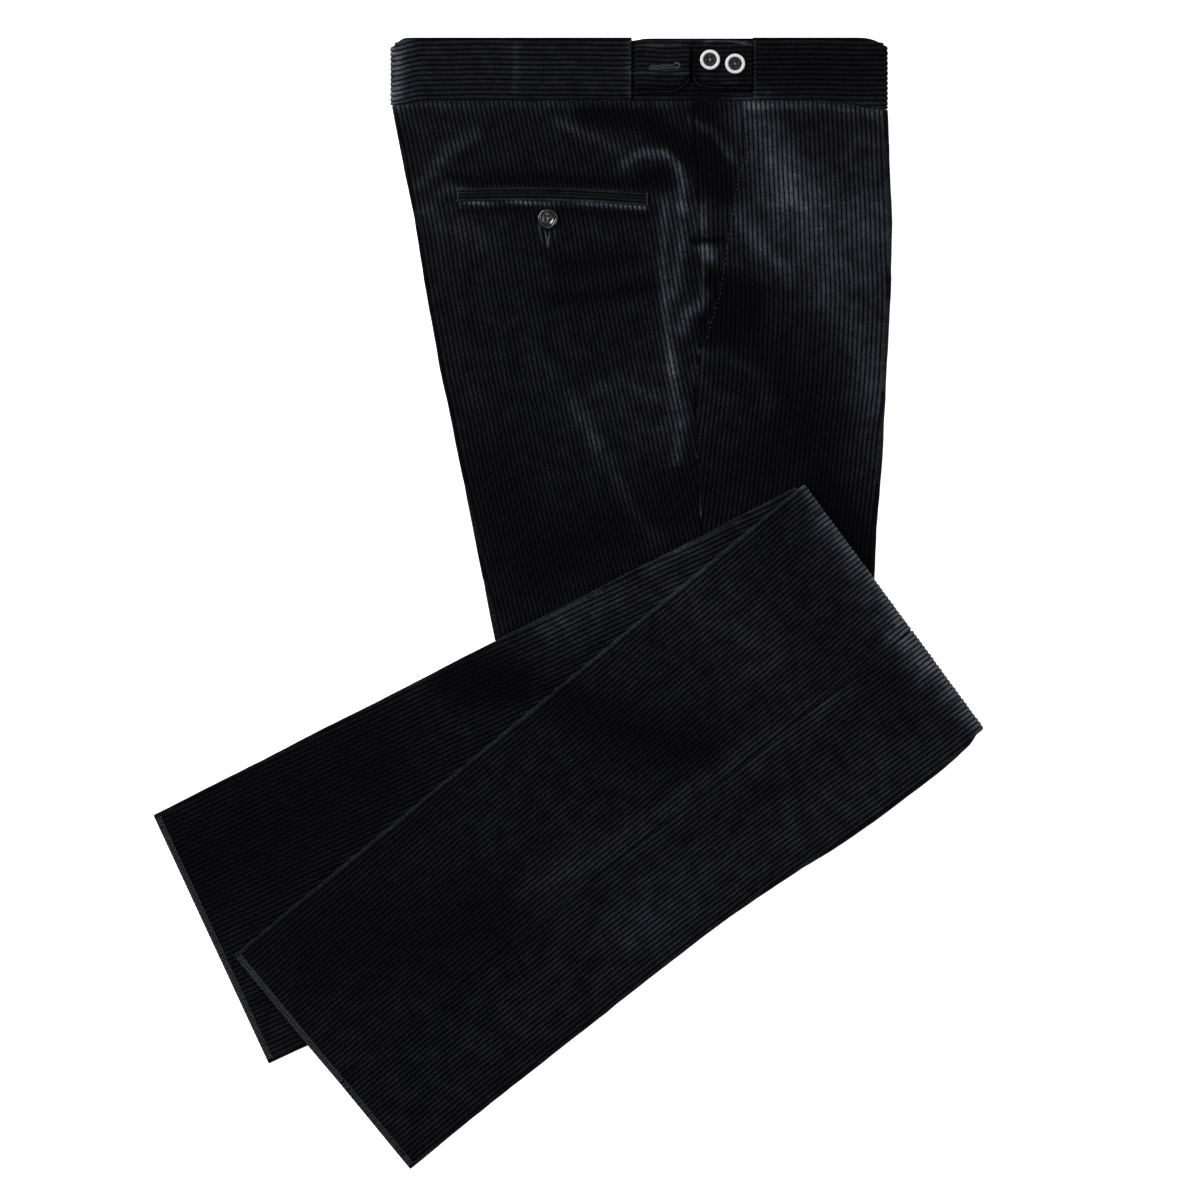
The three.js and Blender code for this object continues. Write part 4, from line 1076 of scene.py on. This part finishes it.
button_z = elastic_z + GAP + TAB + TAB_DOME + GAP + SHANK
button_pieces, thread_ends = [], []
for k, (bx, by) in enumerate(WAIST_BUTTONS):
    around = np.radians(np.linspace(0, 180, 13))
    ring = [(5.3, 0.1), (5.3, 1.35)]
    ring += [(6.5 - 1.2 * math.cos(a), 1.35 + 0.8 * math.sin(a) ** 0.8) for a in around]
    ring += [(7.75, 0.8), (7.3, 0.0), (5.3, 0.1)]
    button_pieces.append(turned(f"adjuster_ring_{k + 1}", (bx, by, button_z), ring))
    pits = holes(HOLES_OUT, 45 + 12 * k)
    button_pieces.append(turned(
        f"adjuster_dish_{k + 1}", (bx, by, button_z + 0.1), dish(5.2, 1.3, 0.9), pits, HOLE_RADIUS, 0.8))
    thread_ends += crossed((bx, by), pits, button_z + 0.7)

hip_button_z = float(hip_z(*HIP_BUTTON)) + GAP + SHANK
rim_cut = [(5.0, 0.05), (5.0, 1.2), (5.2, 1.75), (5.5, 2.15), (6.0, 2.4), (6.6, 2.5), (7.1, 2.4),
           (7.5, 2.15), (7.8, 1.7), (7.95, 1.2), (7.8, 0.6), (7.2, 0.0), (5.0, 0.05)]
button_pieces.append(turned("hip_button_rim", (*HIP_BUTTON, hip_button_z), rim_cut))
pits = holes(HOLES_OUT, 50)
button_pieces.append(turned(
    "hip_button_dish", (*HIP_BUTTON, hip_button_z + 0.1), dish(4.86, 1.6, 1.0), pits, HOLE_RADIUS, 0.9))
thread_ends += crossed(HIP_BUTTON, pits, hip_button_z + 0.85)
button_threads = tubes("button_threads", *zip(*thread_ends), 0.75, 0.5, sides=8, steps=11)

# %% [markdown]
# All sewing is made of single stitches, short arched threads that dive into the cloth at both
# ends. Rows of them run along a chain of points. The raw hems are overlocked: loops of grey thread
# go over the cut edge every two millimetres, with a needle line beside them.

# %% Sewing
def along_path(path, spacing):
    """Points every `spacing` mm along a chain of places, with the direction of the chain there."""
    path = np.array(path, float)
    steps = np.hypot(*np.diff(path, axis=0).T)
    run = np.concatenate([[0], np.cumsum(steps)])
    at = np.arange(spacing / 2, run[-1], spacing)
    places, ahead, behind = (
        np.stack([np.interp(at + step, run, path[:, k]) for k in (0, 1)], 1) for step in (0, 0.5, -0.5))
    way = ahead - behind
    return places, way / np.hypot(*way.T)[:, None]


def on_cloth(places, top, above):
    """Places on the page lifted onto a surface."""
    return np.c_[places, top(places[:, 0], places[:, 1]) + above]


def row_of_stitches(path, top, spacing, length, above=0.45):
    """Starts and stops of single stitches that follow a chain."""
    places, way = along_path(path, spacing)
    return on_cloth(places - way * length / 2, top, above), on_cloth(places + way * length / 2, top, above)


def slanted(path, top, spacing, width, lean, above=0.4):
    """Starts and stops of stitches across a chain, leaning along it."""
    places, way = along_path(path, spacing)
    across = np.stack([-way[:, 1], way[:, 0]], 1)
    return (on_cloth(places - across * width / 2 - way * lean / 2, top, above),
            on_cloth(places + across * width / 2 + way * lean / 2, top, above))


def join(rows_of):
    """One list of starts and one of stops from several rows."""
    return [np.concatenate(side) for side in zip(*rows_of)]


band_face = level(band_z + 0.1)
pick_line = [(edge + 2.6, y) for edge, y in slant_line if y < 385]
top_stitches = tubes("edge_stitches", *join([
    row_of_stitches(pick_line, front_z, 3.9, 1.3, 0.5),
    *[row_of_stitches([(x, 392), (x, 438)], band_face, 3.3, 2.2, 0.3) for x in (48.2, 145.4)],
    row_of_stitches([(JETS["left"] + 0.8, 312.4), (JETS["left"] + 0.8, 321.8)], jet_z, 1.2, 1.3, 0.2),
    row_of_stitches([(JETS["right"] - 0.8, 309), (JETS["right"] - 0.8, 318.2)], jet_z, 1.2, 1.3, 0.2),
]), 0.35, 0.45)


def hem_line(leg, inset, start=0.012, stop=0.988):
    """A chain along a hem, `inset` mm inside the cut edge, from one crease almost to the other."""
    a, b = np.array(leg["hem_back"]), np.array(leg["hem_front"])
    back = np.array(leg["fold_back"]) - a
    way = back / np.hypot(*back)
    return [a + (b - a) * share + way * inset for share in (start, stop)]


hem_rows = []
for leg, top in ((RIGHT_LEG, right_top), (LEFT_LEG, left_top)):
    for lean, above in ((1.4, 0.5), (-1.0, 0.6)):
        hem_rows.append(slanted(hem_line(leg, 2.2), top, 1.8, 4.6, lean, above))
    hem_rows.append(row_of_stitches(hem_line(leg, 4.6), top, 2.1, 2.0, 0.75))
    hem_rows.append(row_of_stitches(hem_line(leg, 0.1), top, 1.9, 1.8, -0.35))
overlock = tubes("overlock_threads", *join(hem_rows), 0.25, 0.34)


def buttonhole(path, width, top):
    """Purl stitches on both sides of a slit, at right angles to it and close together."""
    places, way = along_path(path, 0.62)
    across = np.stack([-way[:, 1], way[:, 0]], 1)
    sides = []
    for sign in (-1, 1):
        near, far = places + across * sign * 0.25, places + across * sign * width
        sides.append((on_cloth(near, top, 0.5), on_cloth(far, top, 0.3)))
    return join(sides)


tab_face = tab_z(HOLE_TAB, 0.9)
eye = [(84.6 + 2.2 * math.cos(a), 417.7 + 2.1 * math.sin(a)) for a in np.linspace(-2.8, 2.8, 15)]
slit = [(63.4, 415.4), (67, 416.8), (70.5, 415.9), (74, 417.1), (78, 416.5), (82, 417.6)]
hole_rows = [buttonhole(slit, 1.6, tab_face), slanted(eye, tab_face, 0.6, 1.5, 0.3, 0.6)]
for edge in ([(-17.7, 289.4), (-16.7, 284.5), (-16.1, 280)], [(-14.2, 289), (-14.7, 284.5), (-15.2, 280)]):
    hole_rows.append(slanted(edge, hip_z, 0.5, 1.0, 0.5, 0.5))
# three crossed stitches at the foot of the buttonhole below the hip button
star = [(-17.3, 276.9, -13.9, 279.6), (-17.1, 279.8, -14.1, 276.6), (-15.6, 280.4, -15.5, 276.2)]
hole_rows.append([on_cloth(np.array(star)[:, k:k + 2], hip_z, 0.6) for k in (0, 2)])
buttonholes = tubes("buttonhole_threads", *join(hole_rows), 0.35, 0.42)

# %% [markdown]
# One small function adds a shader node with its settings and links, so a material reads as a list
# of steps. Hex colours are sRGB, and one function turns them to linear light.

# %% Small helpers for materials
def linear(hex_colour):
    """sRGB hex to linear light: divide by 12.92 near black, else a power of 2.4."""
    parts = [int(hex_colour[k:k + 2], 16) / 255 for k in (1, 3, 5)]
    return (*[p / 12.92 if p <= 0.04045 else ((p + 0.055) / 1.055) ** 2.4 for p in parts], 1.0)


def node(tree, kind, settings=None, **links):
    """Adds a node. A keyword names an input (or in_0, in_1 by number): a value, or an output."""
    made = tree.nodes.new("ShaderNode" + kind)
    for key, value in (settings or {}).items():
        setattr(made, key, value)
    for key, value in links.items():
        socket = made.inputs[int(key[3:])] if key.startswith("in_") else made.inputs[key.replace("_", " ")]
        if isinstance(value, bpy.types.NodeSocket):
            tree.links.new(value, socket)
        else:
            socket.default_value = value
    return made


def material(name, **finish):
    """A Principled material with an empty tree otherwise; finish sets the shader's own sockets."""
    made = bpy.data.materials.new(name)
    made.use_nodes = True
    tree = made.node_tree
    shader = tree.nodes["Principled BSDF"]
    for key, value in finish.items():
        shader.inputs[key.replace("_", " ")].default_value = value
    return made, tree, shader


# %% [markdown]
# Black cotton corduroy, cut pile. The brushed tips of the pile are nearly matt and catch light at
# grazing angles, which is what sheen does. The grooves between the wales show the bare ground
# weave, and the colour is painted darker towards them as painted shade. Where hands or the iron
# have laid the pile over, it looks lighter or darker in soft patches, and the same patches carry
# painted highlights on ridges and folds and painted shade in hollows and under the tabs. Along a
# wale the tufts vary every millimetre or so.

# %% Corduroy
def corduroy(name, standing_pile_and_shade, laid_pile_and_highlight, groove):
    """Pile colour from two attributes: pile is 0 in a groove, painted darker there as shade; the other is 1
    where the pile lies over and at the brightest painted highlights.
    """
    made, tree, shader = material(
        name, Roughness=0.95, Specular_IOR_Level=0.02, Sheen_Weight=0.32, Sheen_Roughness=0.3,
        Sheen_Tint=linear("#cdd3e2"))
    pile = node(tree, "Attribute", {"attribute_name": "pile"})
    crush = node(tree, "Attribute", {"attribute_name": "crush"})
    grain = node(tree, "UVMap", {"uv_map": "grain"})
    # Tufts: 1.1 mm across the wale, 2 mm along it.
    stretched = node(tree, "Mapping", Vector=grain.outputs["UV"], Scale=(900.0, 500.0, 1.0))
    tufts = node(tree, "TexNoise", Vector=stretched.outputs[0], Scale=1.0, Detail=2.0)
    # Brushed places 15 mm across, much weaker than the listed ones.
    place = node(tree, "TexCoord")
    patches = node(tree, "TexNoise", Vector=place.outputs["Object"], Scale=85.0, Detail=4.0)
    brushed = node(tree, "MapRange", Value=patches.outputs["Fac"], From_Min=0.3, From_Max=0.7,
                   To_Min=0.72, To_Max=1.28)
    # The share runs from the standing pile's colour, which also serves as painted shade, to the laid-over
    # colour, which also serves as painted highlight and sheen.
    share = node(tree, "Math", {"operation": "MULTIPLY", "use_clamp": True},
                 in_0=crush.outputs["Fac"], in_1=brushed.outputs[0])
    bent = node(tree, "Math", {"operation": "POWER"}, in_0=share.outputs[0], in_1=2.0)
    light = node(tree, "Mix", {"data_type": "RGBA"}, in_0=bent.outputs[0], in_6=linear(standing_pile_and_shade),
                 in_7=linear(laid_pile_and_highlight))
    speckle = node(tree, "MapRange", Value=tufts.outputs["Fac"], From_Min=0.32, From_Max=0.68,
                   To_Min=0.3, To_Max=1.15)
    # Towards each groove the colour goes to the groove colour: painted shade in the grooves, where the bare
    # ground weave shows.
    height = node(tree, "Math", {"operation": "POWER"}, in_0=pile.outputs["Fac"], in_1=2.2)
    depth = node(tree, "Math", {"operation": "MULTIPLY"}, in_0=height.outputs[0],
                 in_1=speckle.outputs[0])
    colour = node(tree, "Mix", {"data_type": "RGBA"}, in_0=depth.outputs[0], in_6=linear(groove),
                  in_7=light.outputs[2])
    tree.links.new(colour.outputs[2], shader.inputs["Base Color"])
    bump = node(tree, "Bump", Height=tufts.outputs["Fac"], Strength=0.6, Distance=0.0005)
    tree.links.new(bump.outputs[0], shader.inputs["Normal"])
    return made


cloth_pieces += [hip_under, knee_under]
# The light colour is laid-over pile and painted highlight, the dark one standing pile and painted shade,
# the last one painted shade in the grooves.
corduroy_cloth = corduroy("black_cotton_corduroy", "#09090c", "#52545e", "#010101")
for piece in cloth_pieces:
    piece.data.materials.append(corduroy_cloth)

# %% [markdown]
# The buttons are cast polyester, turned and tumble polished. That leaves a glossy face with faint
# clouds in the resin and a little haze. No light comes back out of the sewing holes, so they are
# black. The threads are spun polyester: matt, and lighter and darker along the twist.

# %% Buttons and thread
def cast_polyester(name, colour, cloud, roughness, **finish):
    """Polished resin: colour and gloss vary in clouds 2 mm across. Holes are black and matt."""
    made, tree, shader = material(name, **finish)
    place = node(tree, "TexCoord")
    clouds = node(tree, "TexNoise", Vector=place.outputs["Object"], Scale=500.0, Detail=3.0)
    hole = node(tree, "Attribute", {"attribute_name": "hole"})
    body = node(tree, "Mix", {"data_type": "RGBA"}, in_0=clouds.outputs["Fac"], in_6=linear(colour),
                in_7=linear(cloud))
    shown = node(tree, "Mix", {"data_type": "RGBA"}, in_0=hole.outputs["Fac"], in_6=body.outputs[2],
                 in_7=linear("#000000"))
    haze = node(tree, "MapRange", Value=clouds.outputs["Fac"], To_Min=0.7 * roughness,
                To_Max=1.3 * roughness)
    gloss = node(tree, "Mix", {"data_type": "FLOAT"}, in_0=hole.outputs["Fac"], in_2=haze.outputs[0],
                 in_3=1.0)
    tree.links.new(shown.outputs[2], shader.inputs["Base Color"])
    tree.links.new(gloss.outputs[0], shader.inputs["Roughness"])
    return made


def spun_thread(name, dark, light):
    """Thread: noise 0.4 mm across goes between two colours and bends the light as its plies do."""
    made, tree, shader = material(name, Roughness=0.65, Sheen_Weight=0.3)
    place = node(tree, "TexCoord")
    plies = node(tree, "TexNoise", Vector=place.outputs["Object"], Scale=2500.0, Detail=1.0)
    colour = node(tree, "Mix", {"data_type": "RGBA"}, in_0=plies.outputs["Fac"], in_6=linear(dark),
                  in_7=linear(light))
    bump = node(tree, "Bump", Height=plies.outputs["Fac"], Strength=0.5, Distance=0.0001)
    tree.links.new(colour.outputs[2], shader.inputs["Base Color"])
    tree.links.new(bump.outputs[0], shader.inputs["Normal"])
    return made


black_button = cast_polyester("black_polyester_button", "#040405", "#0c0b0d", 0.16,
                              Specular_IOR_Level=0.7)
white_button = cast_polyester("white_polyester_button", "#bfbdbb", "#cac8c6", 0.22)
# The dish's dark grey is partly its own dark resin and partly painted reflection: the grey that a glossy
# dish would mirror, put into its colour, with the specular turned down.
dish_with_painted_reflection = cast_polyester("dark_polyester_dish", "#1b1a1d", "#2a292c", 0.2, Specular_IOR_Level=0.2)
for piece in button_pieces:
    finish = {"adjuster_ring": white_button, "adjuster_dish": dish_with_painted_reflection}
    piece.data.materials.append(finish.get(piece.name[:13], black_button))

grey_thread = spun_thread("grey_overlock_thread", "#11141a", "#262b34")
button_threads.data.materials.append(spun_thread("grey_button_thread", "#4a4a50", "#88888e"))
top_stitches.data.materials.append(spun_thread("black_sewing_thread", "#121216", "#26262e"))
for piece in (buttonholes, overlock):
    piece.data.materials.append(grey_thread)

# %% [markdown]
# The picture was taken straight down on a white sheet in soft light. A wide low lamp at the upper
# left gives every wale a light and a dark side. A weaker one at the right and a high one fill the
# shadows, and the wide lamps draw long bright arcs on the rims of the buttons. None stands
# straight above, because the flat middle of a polished button would mirror it. The lens makes
# the picture 936 mm wide on the floor, and the camera stands above the middle of the photo.

# %% Camera, floor and light
camera = bpy.data.objects.new("camera", bpy.data.cameras.new("camera"))
camera.data.sensor_width = 36
camera.data.lens = 123.08
camera.location = (0.02376, 0.0026, 3.2)
collection.objects.link(camera)
bpy.context.scene.camera = camera

FLOOR_Z, FLOOR_HALF = -0.2 * MM, 4
floor_mesh = bpy.data.meshes.new("floor")
floor_corners = [(FLOOR_HALF * x, FLOOR_HALF * y, FLOOR_Z) for x, y in ((-1, -1), (1, -1), (1, 1), (-1, 1))]
floor_mesh.from_pydata(floor_corners, [], [(0, 1, 2, 3)])
floor = bpy.data.objects.new("floor", floor_mesh)
collection.objects.link(floor)
sheet_paper, _, _ = material(
    "white_floor", Base_Color=linear("#ffffff"), Roughness=0.9, Emission_Color=linear("#ffffff"),
    Emission_Strength=0.8)
floor_mesh.materials.append(sheet_paper)

world = bpy.data.worlds.new("studio")
bpy.context.scene.world = world
world.use_nodes = True
background = world.node_tree.nodes["Background"]
background.inputs["Color"].default_value = (1, 1, 1, 1)
background.inputs["Strength"].default_value = 0.36
bpy.context.scene.view_settings.view_transform = "Standard"


def lamp(name, place, wide, tall, power):
    """A soft lamp at a place, aimed at the middle of the trousers: sizes in metres, power in watts."""
    data = bpy.data.lights.new(name, "AREA")
    data.shape = "RECTANGLE"
    data.size, data.size_y, data.energy = wide, tall, power
    made = bpy.data.objects.new(name, data)
    made.location = place
    aim = -np.array(place, float)
    made.rotation_euler = (
        math.acos(-aim[2] / np.linalg.norm(aim)), 0.0, math.atan2(aim[1], aim[0]) - math.pi / 2)
    collection.objects.link(made)


lamp("key", (-1.6, 1.4, 1.4), 2.0, 0.7, 80)
lamp("fill", (1.9, 0.4, 1.6), 2.6, 0.8, 19)
lamp("top", (0.3, -2.0, 3.3), 1.4, 1.4, 18)

# %% [markdown]
# Every piece rides on the one body and stands for its solid. The sheets state the flat size that
# each was cut to.

# %% Places in the imported model
cloth_by_name = {piece.name: piece for piece in cloth_pieces}
button_solids = [
    "adjuster_button_ring_1", "adjuster_button_centre_1", "adjuster_button_ring_2",
    "adjuster_button_centre_2", "pocket_button_rim", "pocket_button",
]
SHEETS = {
    # solid, width, length and area of the cut that shows in mm and mm2, and what it lies on
    "back_thigh_cloth": ("back_panel_thigh", 257, 500, 92500, "folded_layers_hip_cloth"),
    "front_thigh_cloth": ("front_panel_thigh", 152, 547, 68900, "folded_layers_hip_cloth"),
    "pocket_facing_cloth": ("side_pocket_facing", 48, 188, 5600, "folded_layers_hip_cloth"),
    "right_back_calf_cloth": ("back_panel_calf", 143, 600, 82000, "right_leg_under_cloth"),
    "right_front_calf_cloth": ("front_panel_calf", 100, 600, 56900, "right_leg_under_cloth"),
    "left_back_calf_cloth": ("left_back_panel_calf", 129, 587, 70600, "left_leg_under_cloth"),
    "left_front_calf_cloth": ("left_front_panel_calf", 109, 605, 61800, "left_leg_under_cloth"),
    "right_leg_under_cloth": ("folded_layers_right_leg", 234, 569, 125500, "left_back_calf_cloth"),
    "left_leg_under_cloth": ("folded_layers_left_leg", 229, 602, 126000, "folded_layers_knee_cloth"),
    "waistband_back_cloth": ("waistband_back", 51, 196, 9700, "folded_layers_hip_cloth"),
    "waistband_front_cloth": ("waistband_front", 51, 113, 5600, "folded_layers_hip_cloth"),
    "adjuster_elastic_cloth": ("adjuster_elastic", 50, 94, 4550, "folded_layers_hip_cloth"),
    "adjuster_tab_cloth": ("adjuster_tab", 38, 42, 1480, "adjuster_elastic_cloth"),
    "adjuster_button_tab_cloth": ("adjuster_button_tab", 37, 46, 1560, "adjuster_elastic_cloth"),
    "pocket_jet_upper_cloth": ("pocket_jet_upper", 10, 149, 920, "back_thigh_cloth"),
    "pocket_jet_lower_cloth": ("pocket_jet_lower", 10, 149, 920, "back_thigh_cloth"),
    "folded_layers_hip_cloth": ("folded_layers_hip", 392, 548, 163000, "floor"),
    "folded_layers_knee_cloth": ("folded_layers_knee", 226, 250, 37500, "back_thigh_cloth"),
}
for name, (solid, *_) in SHEETS.items():
    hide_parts(solid)
    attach(cloth_by_name[name], "root")
for piece, solid in zip(button_pieces, button_solids):
    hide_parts(solid)
    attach(piece, "root")
for piece in (button_threads, top_stitches, buttonholes, overlock):
    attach(piece, "root")
